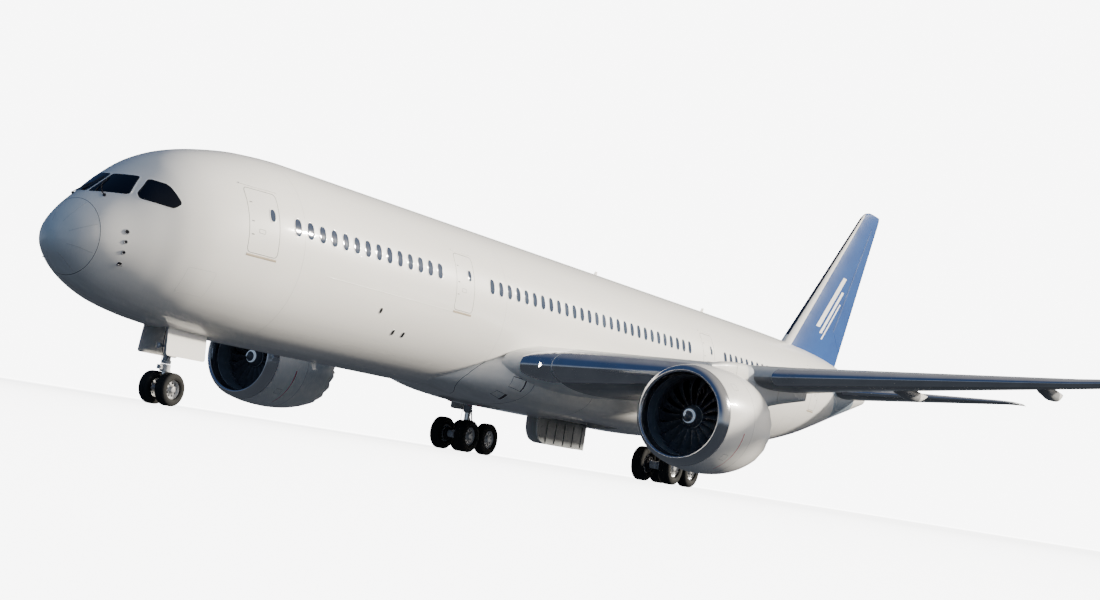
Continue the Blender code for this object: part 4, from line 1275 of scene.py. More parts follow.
class Hinge:
    """Hinge line of a control surface, with its own along, forward and up directions."""

    def __init__(self, rows, side, inner, outer, share, dropped):
        self.rows, self.side, self.share = rows, side, share
        self.keys = (inner, outer)
        faces = [[foil_point(rows, side, key, share, face) for face in (1, -1)] for key in self.keys]
        self.ends = [(top + low) / 2 for top, low in faces]
        self.radii = [np.linalg.norm(top - low) / 2 for top, low in faces]
        self.along = unit(self.ends[1] - self.ends[0])
        guide = thick_way(rows)
        self.up = unit(guide - guide.dot(self.along) * self.along)
        self.forward = np.cross(self.up, self.along)
        if self.forward[1] > 0:
            self.forward = -self.forward
        reach = [max(self.radii)] * 2 if dropped else self.radii
        self.front = [radius + RUN for radius in reach]

    def in_plane(self, step, share, face):
        """A surface point at a share of the hinge line's length, in the plane square to it."""
        first, second = [foil_point(self.rows, self.side, key, share, face) for key in self.keys]
        spot = self.ends[0] + (self.ends[1] - self.ends[0]) * step
        reach = (spot - first).dot(self.along) / (second - first).dot(self.along)
        return first + reach * (second - first)

    def ring(self, step):
        """Section of the moving surface: its top, its round nose and its underside."""
        shares = spaced(self.share, 1.0, 15)
        upper = [self.in_plane(step, share, 1) for share in reversed(shares)]
        lower = [self.in_plane(step, share, -1) for share in shares]
        centre = self.ends[0] + (self.ends[1] - self.ends[0]) * step
        radius = self.radii[0] + (self.radii[1] - self.radii[0]) * step
        angles = [math.radians(angle) for angle in range(75, -90, -15)]
        nose = [centre + radius * (math.cos(a) * self.forward + math.sin(a) * self.up) for a in angles]
        return upper + nose + lower

    def cove(self):
        """The room that the moving surface needs, as a cutting tool."""
        above, behind = 1.2, -4.0
        rings = []
        for end, step in ((0, -RUN), (1, RUN)):
            centre = self.ends[end] + step * self.along
            corners = ((self.front[end], -above), (self.front[end], above), (behind, above), (behind, -above))
            rings.append([centre + ahead * self.forward + rise * self.up for ahead, rise in corners])
        tool = Shape().loft(rings).build("cove")
        tool.data.materials.append(SEAM)
        return tool

    def pivot(self):
        return [point + self.front[0] * self.forward - FLAP_DROP * self.up for point in self.ends]


def canoe(hinge, x, ahead, behind, half_width, part):
    """One half of a flap fairing, rounded along and across."""
    pivot = hinge.pivot()
    share = (hinge.side * x - pivot[0][0]) / (pivot[1][0] - pivot[0][0])
    spot = pivot[0] + share * (pivot[1] - pivot[0])
    skew = (pivot[1][1] - pivot[0][1]) / (pivot[1][0] - pivot[0][0])
    in_front = part == "front"
    rows, reach, start = (FRONT_HALF, ahead, 0.0) if in_front else (REAR_HALF, behind, RUN)
    curve = Curve(rows)
    rings = []
    for along in spaced(rows[0][0], rows[-1][0], 25):
        width, floor = curve.at(along)
        offset = start + along * (reach - start)
        roof = FLAP_DROP if in_front else FLAP_DROP - 0.04 * offset
        height = max(0.05, roof - floor)
        ring = []
        for a in turns(28):
            dx = blunted(math.sin(a), 0.8) * half_width * width
            rise = 0.5 - 0.5 * blunted(math.cos(a), 0.75)
            ring.append((spot[0] + dx, spot[1] + offset + dx * skew, spot[2] + floor + height * rise))
        rings.append(ring)
    return Shape().loft(rings)


def flap_fairing(hinge, node, word, x, ahead, behind, half_width):
    """A fairing's fixed front half and the rear half that droops with the flap, white at its end."""
    size = (x, ahead, behind, half_width)
    number = f"{int(x * 10)}_{word}"
    canoe(hinge, *size, "front").piece(f"fairing_front_{number}", FLAP_GREY, slot=f"wing_{word}")
    rear = canoe(hinge, *size, "rear").build(f"fairing_rear_{number}")
    rear.data.materials.append(FAIRING_REAR)
    rear.data.materials.append(SURROUND)
    start = min(vertex.co.y for vertex in rear.data.vertices)
    for face in rear.data.polygons:
        face.material_index = int(face.center.y > start + SCALE * behind * 0.52)
    dress(rear, FAIRING_REAR, rides=node)


def hinged_surfaces(body, rows, side, word, finish):
    """Cut the room for each moving surface out of its foil, and make the surface."""
    for title, table, inner, outer, share in SURFACES:
        if table is not rows:
            continue
        hinge = Hinge(rows, side, inner, outer, share, title.endswith("flap"))
        cut(body, hinge.cove())
        node = f"{title}_{word}" if word else title
        steps = max(6, int((outer - inner) * 2))
        moving = Shape().loft([hinge.ring(step) for step in spaced(0.0, 1.0, steps + 1)])
        moving.piece(f"{node}_skin", finish, rides=node, stands_for=node)
        for flap, *size in FLAP_FAIRINGS:
            if flap == title:
                flap_fairing(hinge, node, word, *size)


def foil_skin(rows, side, title, word, finish, spacing):
    """A wing, stabiliser or fin with its moving surfaces."""
    node = f"{title}_{word}" if word else title
    name = f"{title}_skin_{word}" if word else f"{title}_skin"
    keys = foil_keys(rows, rows[0][0], rows[-1][0], spacing)
    body = Shape().loft([foil_ring(rows, side, key) for key in keys]).build(name)
    body.data.materials.append(finish)
    hinged_surfaces(body, rows, side, word, FLAP_GREY if rows is WING else finish)
    shade(body, 32)
    dress(body, finish, stands_for=node)


def edge_shell(side, inner, outer, chord_at, spacing=0.8):
    """Polished leading edge, a thin shell on the nose of the wing."""
    rings = []
    for key in foil_keys(WING, inner, outer, spacing):
        chord = chord_at(key)
        ring = []
        for share, face in nose_order([chord * (k / 12) ** 1.6 for k in range(13)]):
            fade = min(1.0, (chord - share) / (chord * 0.15) + 0.35)
            ring.append(raised_point(WING, side, key, share, face, 0.012 * fade, 0.0015))
        top, low = foil_point(WING, side, key, chord, 1), foil_point(WING, side, key, chord, -1)
        ring += [low + (top - low) * 0.3, low + (top - low) * 0.7]
        rings.append(ring)
    return Shape().loft(rings)


def root_edge(side, word):
    """The fixed metal edge inboard of the slats, with its landing lamp."""
    start = 3.15

    def chord_at(key):
        return SLAT_CHORD * min(1.0, 0.10 + (key - start) / 0.75) ** 0.7

    node = f"wing_{word}"
    edge_shell(side, start, 4.07, chord_at, 0.12).piece(f"root_edge_{word}", POLISHED, 40, slot=node)
    middle = foil_point(WING, side, 3.72, 0.0, 1)
    forward = np.array((side * 0.15, -0.985, 0.08))
    for title, finish, size, reach in (("landing_lamp_bezel", CHROME, 0.112, 0.055),
                                       ("landing_lamp", LIT_LAMP, 0.092, 0.072)):
        profile = ((0.0, size), (0.05, size), (0.058, size * 0.9))
        lamp_shape = turned(Shape(), middle - forward * 0.05, middle + forward * reach, profile, 28)
        lamp_shape.piece(f"{title}_{word}", finish, 40, slot=node)


def foil_ribbon(shape, side, spots, face, width, height, closed=False):
    """A strip on the wing through (station, share of the chord)."""
    points = [foil_point(WING, side, key, share, face) for key, share in spots]
    normals = [foil_normal(WING, side, key, share, face) for key, share in spots]
    return ribbon(shape, points, normals, width, height, closed=closed)


# Spoilers: inner end, outer end, front and rear as shares of the chord
SPOILERS = ((4.6, 6.6, 0.70, 0.84), (6.7, 8.8, 0.70, 0.84), (11.6, 13.5, 0.62, 0.74),
            (13.6, 15.5, 0.62, 0.74), (15.6, 17.5, 0.62, 0.74), (17.6, 19.5, 0.62, 0.74))


def wing_lines(side, word):
    """Spoilers on top, access panels and skin joints below."""
    lines, plates = Shape(), Shape()
    for inner, outer, front, rear in SPOILERS:
        edge = [(key, front) for key in spaced(inner, outer, 7)]
        back = [(key, rear) for key in spaced(outer, inner, 7)]
        foil_ribbon(lines, side, edge + back, 1, 0.018, 0.003, closed=True)
    for face in (1, -1):
        for start, share in ((4.0, 0.16), (4.0, 0.42), (11.2, 0.62)):
            spots = [(key, share) for key in foil_keys(WING, start, 26.5)]
            foil_ribbon(lines, side, spots, face, 0.010, 0.0015)
        for key in (8.95, 11.15, 15.6, 20.3, 25.1):
            foil_ribbon(lines, side, [(key, share) for share in spaced(0.08, 0.74, 21)], face, 0.010, 0.0015)
    for key in spaced(5.6, 24.68, 19):
        if 9.0 < key < 10.8:
            continue
        share = 0.29 if key < 11 else 0.34
        long = 0.30 / chord_of(WING, key)
        spots = [(key + 0.13 * math.sin(a), share + long * math.cos(a)) for a in turns(20)]
        foil_ribbon(plates, side, spots, -1, 0.014, 0.002, closed=True)
    lines.piece(f"wing_lines_{word}", SEAM, slot=f"wing_{word}")
    plates.piece(f"tank_panels_{word}", SEAM, slot=f"wing_{word}")


def static_wicks(side, word):
    wicks = Shape()
    for key in (25.6, 26.6, 28.0, 28.8):
        start = foil_point(WING, side, key, 1.0, 1)
        path = ((0, -0.05, 0), (0, 0.10, -0.004), (0, 0.22, -0.010))
        tube(wicks, [start + np.array(step) for step in path], 0.009, 6)
    wicks.piece(f"wing_wicks_{word}", SEAM, slot=f"wing_{word}")


def foil_nose(rows, side, keys, parts, reach_at, rise):
    """A thin shell on a leading edge, out to a share of the chord that reach_at gives."""
    return Shape().loft([[raised_point(rows, side, key, reach_at(key) * part, face, rise)
                          for part, face in nose_order(parts)] for key in keys])


def tip_trim(side, word):
    """The dark leading edge and the lamp of a wing tip."""
    node = f"wing_{word}"
    keys = foil_keys(WING, 27.1, 30.02, 0.3)
    edge = foil_nose(WING, side, keys, (0.0, 0.12, 0.4, 1.0), lambda key: 0.05, 0.005)
    edge.piece(f"tip_edge_{word}", TIP_DARK, 40, slot=node)
    keys = (27.35, 27.55, 27.8, 28.05, 28.2)
    glass = foil_nose(WING, side, keys, (0.0, 0.4 / 3, 0.4 / 0.9, 1.0), lambda key: 0.09, 0.010)
    glass.piece(f"tip_lamp_{word}", RED if side == 1 else GREEN, 50, slot=node)


def wings():
    for side, word in SIDES:
        foil_skin(WING, side, "wing", word, WING_GREY, 1.2)
        for title, inner, outer in SLATS:
            shell = edge_shell(side, inner, outer, lambda key: SLAT_CHORD)
            shell.piece(f"{title}_shell_{word}", POLISHED, 40, stands_for=f"{title}_{word}")
        root_edge(side, word)
        wing_lines(side, word)
        static_wicks(side, word)
        tip_trim(side, word)


def tail_edge(rows, side, start, end, reach_at, name, finish, node):
    """A metal leading edge of the tail, as a thin shell."""
    shell = foil_nose(rows, side, foil_keys(rows, start, end, 0.8), (0.0, 0.12, 0.45, 1.0), reach_at, 0.005)
    shell.piece(name, finish, 40, slot=node)


def tail():
    for side, word in SIDES:
        foil_skin(STABILISER, side, "stabiliser", word, TAIL_GREY, 0.9)
        tail_edge(STABILISER, side, 2.4, 9.3, lambda key: 0.035, f"stabiliser_edge_{word}", POLISHED,
                  f"stabiliser_{word}")
    foil_skin(FIN, 1, "fin", "", FIN_PAINT, 0.9)
    tail_edge(FIN, 1, 3.4, 11.2, lambda key: 0.045 / chord_of(FIN, key), "fin_edge", TIP_DARK, "fin")


# Engines, in stations aft of the inlet lip and radii from the axis

LIP_LINE = line_through(((0.45, 1.765), (0.30, 1.733), (0.16, 1.685), (0.05, 1.607), (0.0, 1.53),
                         (0.05, 1.468), (0.16, 1.437), (0.30, 1.421), (0.45, 1.415)), 6)
COWL_OUTSIDE = Curve(((0.45, 1.765), (1.10, 1.865), (1.70, 1.908), (2.20, 1.92), (3.00, 1.88), (3.70, 1.775),
                      (4.45, 1.59)))
COWL_INSIDE = Curve(((0.45, 1.415), (1.00, 1.405), (1.60, 1.43), (2.10, 1.60), (2.60, 1.645), (3.30, 1.64),
                     (4.45, 1.555)))
CORE_FRONT = ((1.50, 0.30), (1.52, 0.66), (1.74, 0.80), (2.10, 0.94), (2.60, 1.04))
CORE_LINE = Curve(((3.10, 1.08), (3.70, 1.06), (4.35, 0.98), (4.95, 0.84), (5.50, 0.66)))
CORE_END = 5.50
PLUG_LINE = Curve(((4.90, 0.50), (5.52, 0.42), (6.00, 0.24), (6.45, 0.05)))
SPINNER_LINE = Curve(((0.60, 0.015), (0.63, 0.075), (0.72, 0.160), (0.95, 0.315), (1.15, 0.415),
                      (1.45, 0.455)), warp=0.5)
CHEVRONS = 20
CHEVRON_DEPTH = 0.20
COWL_START = 0.462
COWL_END = 4.42
CORE_CHEVRONS = 16
FAN_BLADES = 18
FAN_RADIUS = 1.385
STATOR_VANES = 46

# Fan blade rows: radius, front, rear, half turn of its chord in degrees, lean, half thickness
BLADE_ROWS = (
    (0.40, 1.13, 1.42, 12.0, 0.0, 0.026),
    (0.62, 1.08, 1.43, 9.5, 1.0, 0.020),
    (0.88, 1.05, 1.43, 8.3, 2.5, 0.015),
    (1.10, 1.07, 1.42, 8.0, 4.6, 0.011),
    (1.28, 1.11, 1.40, 8.0, 7.4, 0.009),
    (FAN_RADIUS - 0.004, 1.14, 1.37, 7.8, 9.6, 0.008),
)

# Pylon sections: station, half width, bottom, top above the axis
PYLON = (
    (1.90, 0.10, 1.80, 1.98),
    (3.00, 0.26, 1.74, 2.20),
    (4.40, 0.30, 1.40, 2.32),
    (4.60, 0.30, 0.86, 2.33),
    (5.60, 0.29, 0.62, 2.32),
    (7.40, 0.27, 1.05, 2.25),
    (9.60, 0.20, 1.42, 2.18),
    (10.8, 0.08, 1.60, 2.05),
)


def engine_spot(side, station, radius, angle):
    """A point about the engine's axis; an angle is 0 at the top and grows to port."""
    return np.array((side * ENGINE_X + radius * math.sin(angle), ENGINE_Y + station,
                     ENGINE_Z + radius * math.cos(angle)))


def engine_hoop(side, station, radius, sides):
    return [engine_spot(side, station, radius, angle) for angle in turns(sides)]


def radius_of(line, station):
    return float(line.at(station)[0])


def line_normal(line, station, angle, step):
    """The outward direction of a turned line at a station."""
    slope = float((line.at(station + step) - line.at(station - step))[0] / (2 * step))
    return unit(np.array((math.sin(angle), -slope, math.cos(angle))))


def saw(angle, teeth):
    """A rounded tooth shape from 0 in a notch to 1 at a tip."""
    phase = (angle * teeth / (2 * math.pi)) % 1.0
    height = 1 - abs(2 * phase - 1)
    return height ** 0.85


def inlet_lip(side, word):
    lip = Shape().loft([engine_hoop(side, y, r, 128) for y, r in LIP_LINE], caps=False)
    lip.loft([engine_hoop(side, 0.452, r, 128) for r in (1.762, 1.418)], caps=False)
    lip.piece(f"lip_skin_{word}", POLISHED, 40, stands_for=f"inlet_lip_{word}")


def cowl(side, word):
    """The cowl's white outside and lined duct, drawn back between the teeth of its rear edge."""
    sides = 160
    outside = np.concatenate([np.linspace(COWL_START, 4.0, 30), np.linspace(4.05, COWL_END, 10)])
    rings = []
    for line, stations in ((COWL_OUTSIDE, outside), (COWL_INSIDE, outside[::-1])):
        for station in stations:
            share = (station - COWL_START) / (COWL_END - COWL_START)
            blend = max(0.0, (share - 0.55) / 0.45) ** 2
            ring = []
            for angle in turns(sides):
                y = station - blend * CHEVRON_DEPTH * (1 - saw(angle, CHEVRONS))
                ring.append(engine_spot(side, y, radius_of(line, y), angle))
            rings.append(ring)
    body = Shape().loft(rings, wrap=True).build(f"cowl_skin_{word}", 40)
    body.data.materials.append(NACELLE_WHITE)
    body.data.materials.append(DUCT)
    inner_start = len(outside) * sides
    for face in body.data.polygons:
        if min(face.vertices) >= inner_start - sides and max(face.vertices) >= inner_start:
            face.material_index = 1
    dress(body, NACELLE_WHITE, stands_for=f"engine_cowl_{word}")


def cowl_strip(shape, side, spots, width, height=0.0015, closed=False):
    """A strip on the cowl through (station, angle)."""
    points = [engine_spot(side, y, radius_of(COWL_OUTSIDE, y), a) for y, a in spots]
    normals = [line_normal(COWL_OUTSIDE, y, a, 0.01) for y, a in spots]
    return ribbon(shape, points, normals, width, height, closed=closed)


def cowl_details(side, word):
    """Seams and latches, and the thin red arc on each flank."""
    lines, marks = Shape(), Shape()
    cowl_strip(lines, side, [(0.475, a) for a in turns(96)], 0.022, 0.001, closed=True)
    cowl_strip(lines, side, [(2.18, a) for a in turns(96)], 0.014, closed=True)
    for turn, front, rear in ((math.pi, 0.50, 4.10), (0.30, 0.60, 4.00), (-0.30, 0.60, 4.00)):
        cowl_strip(lines, side, [(y, turn) for y in spaced(front, rear, 31)], 0.012)
    for turn in (0.86, 2.3, -0.86, -2.3):
        low, high = turn - 0.07, turn + 0.07
        latch = rounded([(1.0, low), (1.34, low), (1.34, high), (1.0, high)], 0.03, 4)
        cowl_strip(lines, side, latch, 0.010, closed=True)
    lines.piece(f"cowl_seams_{word}", SEAM, slot=f"engine_cowl_{word}")
    for away in (1, -1):
        for start, end, width in ((1.74, 2.00, 0.046), (2.00, 2.26, 0.034), (2.26, 2.66, 0.022)):
            arc = [(1.56, away * angle) for angle in spaced(start, end, 13)]
            cowl_strip(marks, side, arc, width, 0.002)
    marks.piece(f"cowl_marks_{word}", RED, slot=f"engine_cowl_{word}")


def strake(side, word):
    """The fin on the inner flank of the cowl."""
    turn = -side * 0.84
    rings = []
    for t in spaced(0.0, 1.0, 15):
        y = 0.98 + 1.30 * t
        base = radius_of(COWL_OUTSIDE, y)
        tall = 0.30 * math.sin(math.pi * min(1.0, t * 1.15) / 2) ** 1.4 * (1 - 0.25 * t ** 6) + 0.004
        thick = 0.016 * (1 - 0.6 * t)
        section = ((-1, -0.02), (-0.8, tall * 0.6), (0, tall), (0.8, tall * 0.6), (1, -0.02))
        rings.append([engine_spot(side, y, base + reach, turn + part * thick / base)
                      for part, reach in section])
    Shape().loft(rings).piece(f"strake_{word}", NACELLE_WHITE, 50, slot=f"engine_cowl_{word}")


def fan_blades(side, word):
    """Swept blades with bare metal front edges."""
    rows = Curve(BLADE_ROWS)
    blades, edges = Shape(), Shape()
    chord = [0.0, 0.03, 0.10, 0.25, 0.45, 0.65, 0.85, 1.0]
    around_blade = [(1, t) for t in chord] + [(-1, t) for t in chord[-2:0:-1]]
    for base in turns(FAN_BLADES):
        rings, front = [], []
        for radius in np.linspace(BLADE_ROWS[0][0], BLADE_ROWS[-1][0], 16):
            lead, trail, turn, lean, thick = rows.at(radius)
            ring = []
            for surface, t in around_blade:
                bow = 0.10 * math.sin(math.pi * t) * math.radians(turn)
                angle = base + math.radians(lean + turn * (1 - 2 * t)) + bow
                offset = surface * thick * (math.sin(math.pi * max(t, 0.02)) ** 0.6 + 0.05)
                ring.append(engine_spot(side, lead + (trail - lead) * t, radius, angle + offset / radius))
            rings.append(ring)
            front.append(engine_spot(side, lead - 0.004, radius, base + math.radians(lean + turn)))
        blades.loft(rings)
        tube(edges, front, 0.006, 6)
    blades.piece(f"fan_blades_{word}", BLADE, 50, rides=f"fan_{word}", stands_for=f"fan_{word}")
    edges.piece(f"blade_edges_{word}", BLADE_EDGE, 60, rides=f"fan_{word}")


def spinner(side, word):
    """The fan's nose cone, with a faint part ring and a pale comma that shows it turning; the comma glows
    faintly, a painted light.
    """
    node = f"fan_{word}"
    stations = 0.60 + 0.85 * np.linspace(0.0, 1.0, 24) ** 2
    hub = Shape().loft([engine_hoop(side, y, radius_of(SPINNER_LINE, y), 56) for y in stations])
    hub.piece(f"spinner_{word}", BLADE, 50, rides=node)
    angles = spaced(0.05 * math.pi, math.pi, 31)
    arc = [engine_spot(side, 1.10, radius_of(SPINNER_LINE, 1.10), a) for a in angles]
    normals = [unit(np.array((math.sin(a), -0.5, math.cos(a)))) for a in angles]
    ribbon(Shape(), arc, normals, 0.022, 0.003).piece(f"spinner_ring_{word}", FAINT_SEAM, 50, rides=node)
    path, normals, widths = [], [], []
    for t in spaced(0.0, 1.0, 40):
        y = 0.606 + 0.19 * min(1.0, t / 0.16) ** 1.3 + 0.02 * t
        angle = -1.35 + 5.5 * t
        path.append(engine_spot(side, y, radius_of(SPINNER_LINE, y), angle))
        normals.append(line_normal(SPINNER_LINE, y, angle, 0.005))
        widths.append(0.105 * (1 - t ** 2.2) ** 0.8 + 0.012)
    rings = []
    for k, (spot, normal, width) in enumerate(zip(path, normals, widths)):
        ahead = path[min(k + 1, len(path) - 1)] - path[max(k - 1, 0)]
        across = unit(np.cross(ahead, normal)) * width / 2
        section = ((-1, -0.01), (-1, 0.004), (0, 0.007), (1, 0.004), (1, -0.01))
        rings.append([spot + part * across + rise * normal for part, rise in section])
    Shape().loft(rings).piece(f"spinner_mark_{word}", SPIRAL_WITH_PAINTED_GLOW, 50, rides=node)


def core(side, word):
    """The core's body, its toothed nozzle and the plug in its exhaust."""
    node = f"engine_core_{word}"
    line = [(y, radius_of(CORE_LINE, y)) for y in np.linspace(3.10, 5.46, 20)]
    body = Shape().loft([engine_hoop(side, y, r, 96) for y, r in [*CORE_FRONT, *line]])
    body.piece(f"core_skin_{word}", NOZZLE, 40, stands_for=node)
    front, rear, depth = 4.2, 5.62, 0.11
    stations = np.linspace(front, rear, 12)
    rings = []
    for lift, run in ((0.012, stations), (-0.012, stations[::-1])):
        for y in run:
            drawn = ((y - front) / (rear - front)) ** 3 * depth
            ring = []
            for angle in turns(128):
                station = y - drawn * (1 - saw(angle, CORE_CHEVRONS))
                past = max(0.0, station - CORE_END)
                radius = radius_of(CORE_LINE, min(station, CORE_END)) - past * 0.35
                ring.append(engine_spot(side, station, radius + lift, angle))
            rings.append(ring)
    Shape().loft(rings, wrap=True).piece(f"core_nozzle_{word}", NOZZLE, 40, slot=node)
    line = [(y, radius_of(PLUG_LINE, y)) for y in np.linspace(5.2, 6.45, 20)]
    plug = Shape().loft([engine_hoop(side, y, r, 56) for y, r in line])
    plug.piece(f"exhaust_plug_{word}", NOZZLE, 40, slot=node)


def stator(side, word):
    """Curved vanes behind the fan, and the strip of the case that the blades run past."""
    vanes = Shape()
    section = ((0.0, -0.004), (0.25, -0.014), (0.6, -0.012), (1.0, -0.003), (0.6, 0.012), (0.25, 0.014))
    for base in turns(STATOR_VANES):
        rings = []
        for radius in np.linspace(0.78, 1.66, 5):
            rings.append([engine_spot(side, 1.88 + 0.60 * t, radius,
                                      base + side * 0.32 * (1 - t) ** 2 + off / radius)
                          for t, off in section])
        vanes.loft(rings)
    vanes.piece(f"stator_vanes_{word}", DARK_STEEL_AND_HOLE_SHADE, 50, slot=f"engine_core_{word}")
    run = FAN_RADIUS + 0.012
    profile = ((1.0, 1.42), (1.05, run), (1.46, run), (1.52, 1.44), (1.52, 1.50), (1.0, 1.50))
    case = Shape().loft([engine_hoop(side, y, r, 96) for y, r in profile], wrap=True)
    case.piece(f"fan_case_{word}", RUBSTRIP, 40, slot=f"engine_cowl_{word}")


def above_wing(side):
    """The room above the wing's leading part, where the pylon ends."""
    rings = []
    for key in (8.9, 11.2):
        lead, trail, z = (between(WING, key, column) for column in (1, 2, 3))
        corners = ((lead + 0.05, 0.0), (trail, 0.0), (trail, 2.5), (lead + 0.05, 2.5))
        rings.append([(side * key, y, z + rise) for y, rise in corners])
    return Shape().loft(rings).build("above")


def pylon(side, word):
    curve = Curve(PYLON)
    rings = []
    stretches = (np.linspace(1.90, 4.35, 20), np.linspace(4.42, 4.65, 8), np.linspace(4.8, 10.8, 30))
    for station in np.concatenate(stretches):
        half, low, high = curve.at(station)
        rings.append([(side * ENGINE_X + blunted(math.sin(a), 0.6) * half, ENGINE_Y + station,
                       ENGINE_Z + (low + high) / 2 + (high - low) / 2 * blunted(math.cos(a), 0.7))
                      for a in turns(32)])
    body = Shape().loft(rings).build(f"pylon_skin_{word}", 40)
    body.data.materials.append(PYLON_PAINT)
    cut(body, above_wing(side))
    shade(body, 35)
    dress(body, PYLON_PAINT, stands_for=f"pylon_{word}")
    lines = Shape()
    for station in (3.6, 5.4, 7.6):
        half, low, high = curve.at(station)
        heights = spaced(low, high, 9)[1:-1]
        for way in (1, -1):
            x = side * ENGINE_X + way * (half + 0.001)
            points = [(x, ENGINE_Y + station, ENGINE_Z + z) for z in heights]
            ribbon(lines, points, [(way, 0, 0)] * len(points), 0.012, 0.002)
    lines.piece(f"pylon_lines_{word}", SEAM, slot=f"pylon_{word}")


def engines():
    for side, word in SIDES:
        for make in (inlet_lip, cowl, cowl_details, strake, fan_blades, spinner, core, stator, pylon):
            make(side, word)


# Landing gear

def wheel_hoop(centre, step, radius, sides):
    """Points round an axle that runs sideways, a step along it from the centre."""
    x, y, z = centre
    return [(x + step, y + radius * math.sin(a), z + radius * math.cos(a)) for a in turns(sides)]


def tyre_profile(radius, width):
    """Half a section of a tyre with its tread grooves, as (place along the axle, radius)."""
    half = width / 2
    out = [(half * across, radius * share) for across, share in
           ((0.62, 0.57), (0.86, 0.585), (0.985, 0.66), (1.0, 0.76), (0.955, 0.87), (0.86, 0.945),
            (0.74, 0.984), (0.60, 0.996))]
    for groove in (0.52, 0.18):
        out += [(half * (groove + 0.035), radius), (half * (groove + 0.028), radius - 0.012),
                (half * (groove - 0.028), radius - 0.012), (half * (groove - 0.035), radius)]
    return out


def tyre(shape, centre, radius, width):
    half = tyre_profile(radius, width)
    profile = half + [(-step, size) for step, size in reversed(half)]
    rings = [wheel_hoop(centre, step, size, 64) for step, size in profile]
    shape.loft(rings, caps=False)
    bore = [wheel_hoop(centre, step, 0.555 * radius, 64) for step in (-half[0][0], half[0][0])]
    shape.loft([rings[-1], *bore, rings[0]], caps=False)


def rim(rims, hole_shades, centre, radius, width):
    """A dished rim with a ring of openings, a ring of bolts and a hub cap on each face; the openings are dark
    discs of painted shade, not holes.
    """
    dish = ((0.0, 0.575), (0.004, 0.555), (-0.03, 0.52), (-0.055, 0.44), (-0.050, 0.30), (-0.015, 0.24),
            (0.010, 0.20), (0.035, 0.17), (0.040, 0.10), (0.040, 0.01))
    # Openings as dark discs of painted shade, then bolts: shift round the axle, depth, circle, back, front,
    # radius, sides
    studs = ((hole_shades, 0.0, 0.052, 0.37, 0.02, 0.006, 0.062, 14),
             (rims, 0.5, 0.030, 0.50, 0.03, 0.012, 0.024, 6))
    for way in (1, -1):
        face = way * width * 0.31
        rings = [wheel_hoop(centre, 0.0, 0.575 * radius, 48)]
        rings += [wheel_hoop(centre, face + way * step, share * radius, 48) for step, share in dish]
        rims.loft(rings)
        for shape, shift, sunk, ring, back, front, size, sides in studs:
            for angle in turns(9, shift):
                spot = np.array(centre) + (face - way * sunk, ring * radius * math.sin(angle),
                                           ring * radius * math.cos(angle))
                rod(shape, spot - (way * back, 0, 0), spot + (way * front, 0, 0), size * radius, sides, 0.002)


def wheel_pair(node, x, y, radius, width, track, axle):
    tyres, rims, hole_shades, axles = Shape(), Shape(), Shape(), Shape()
    z = radius - CENTRE_HEIGHT
    for way in (1, -1):
        centre = (x + way * track, y, z)
        tyre(tyres, centre, radius, width)
        rim(rims, hole_shades, centre, radius, width)
    rod(axles, (x - track, y, z), (x + track, y, z), axle, 24)
    tyres.piece(f"{node}_tyres", RUBBER, 30, rides=node, stands_for=node)
    rims.piece(f"{node}_rims", RIM, 30, rides=node)
    # Dark discs of painted shade where the rims' openings would be.
    hole_shades.piece(f"{node}_openings", DARK_STEEL_AND_HOLE_SHADE, 30, rides=node)
    axles.piece(f"{node}_axle", CHROME, 30, rides=node)


def leg_heights(side):
    """Heights of the main axles, of the leg's foot above them and of the wing's underside."""
    axle_z = MAIN_TYRE - CENTRE_HEIGHT
    return axle_z, axle_z + 0.14, foil_point(WING, side, MAIN_GEAR_X, 0.745, -1)[2]


def bogie(side, word):
    """The beam with its axle hubs, brakes and a brake pipe."""
    x, y = side * MAIN_GEAR_X, MAIN_GEAR_Y
    axle_z = leg_heights(side)[0]
    beam, brakes = Shape(), Shape()
    half_beam = ((0.0, 0.12, 0.14), (0.35, 0.105, 0.125), (0.80, 0.10, 0.13), (0.97, 0.085, 0.10),
                 (1.0, 0.05, 0.06))
    sections = [(-step, wide, tall) for step, wide, tall in half_beam[:0:-1]] + list(half_beam)
    beam.loft([[(x + wide * blunted(math.sin(a), 0.6), y + step, axle_z + tall * blunted(math.cos(a), 0.6))
                for a in turns(24)] for step, wide, tall in sections])
    for way in (-1, 1):
        hub_y = y + way * AXLE_SPACING
        rod(beam, (x - 0.29, hub_y, axle_z), (x + 0.29, hub_y, axle_z), 0.155, 28, 0.02)
        for out in (-1, 1):
            rod(brakes, (x + out * 0.30, hub_y, axle_z), (x + out * 0.395, hub_y, axle_z), 0.30, 32, 0.02)
            for a in turns(8):
                piston = np.array((x + out * 0.27, hub_y + 0.23 * math.sin(a), axle_z + 0.23 * math.cos(a)))
                rod(brakes, piston, piston + (out * 0.05, 0, 0), 0.035, 10, 0.004)
    pipe = ((0.09, -0.8, 0.15), (0.10, -0.2, 0.20), (0.10, 0.4, 0.19), (0.09, 0.8, 0.15))
    tube(beam, [(x + side * out, y + aft, axle_z + up) for out, aft, up in pipe], 0.016)
    beam.piece(f"bogie_beam_skin_{word}", GEAR_PAINT, 40, stands_for=f"bogie_beam_{word}")
    brakes.piece(f"brakes_{word}", DARK_STEEL_AND_HOLE_SHADE, 40, slot=f"bogie_beam_{word}")


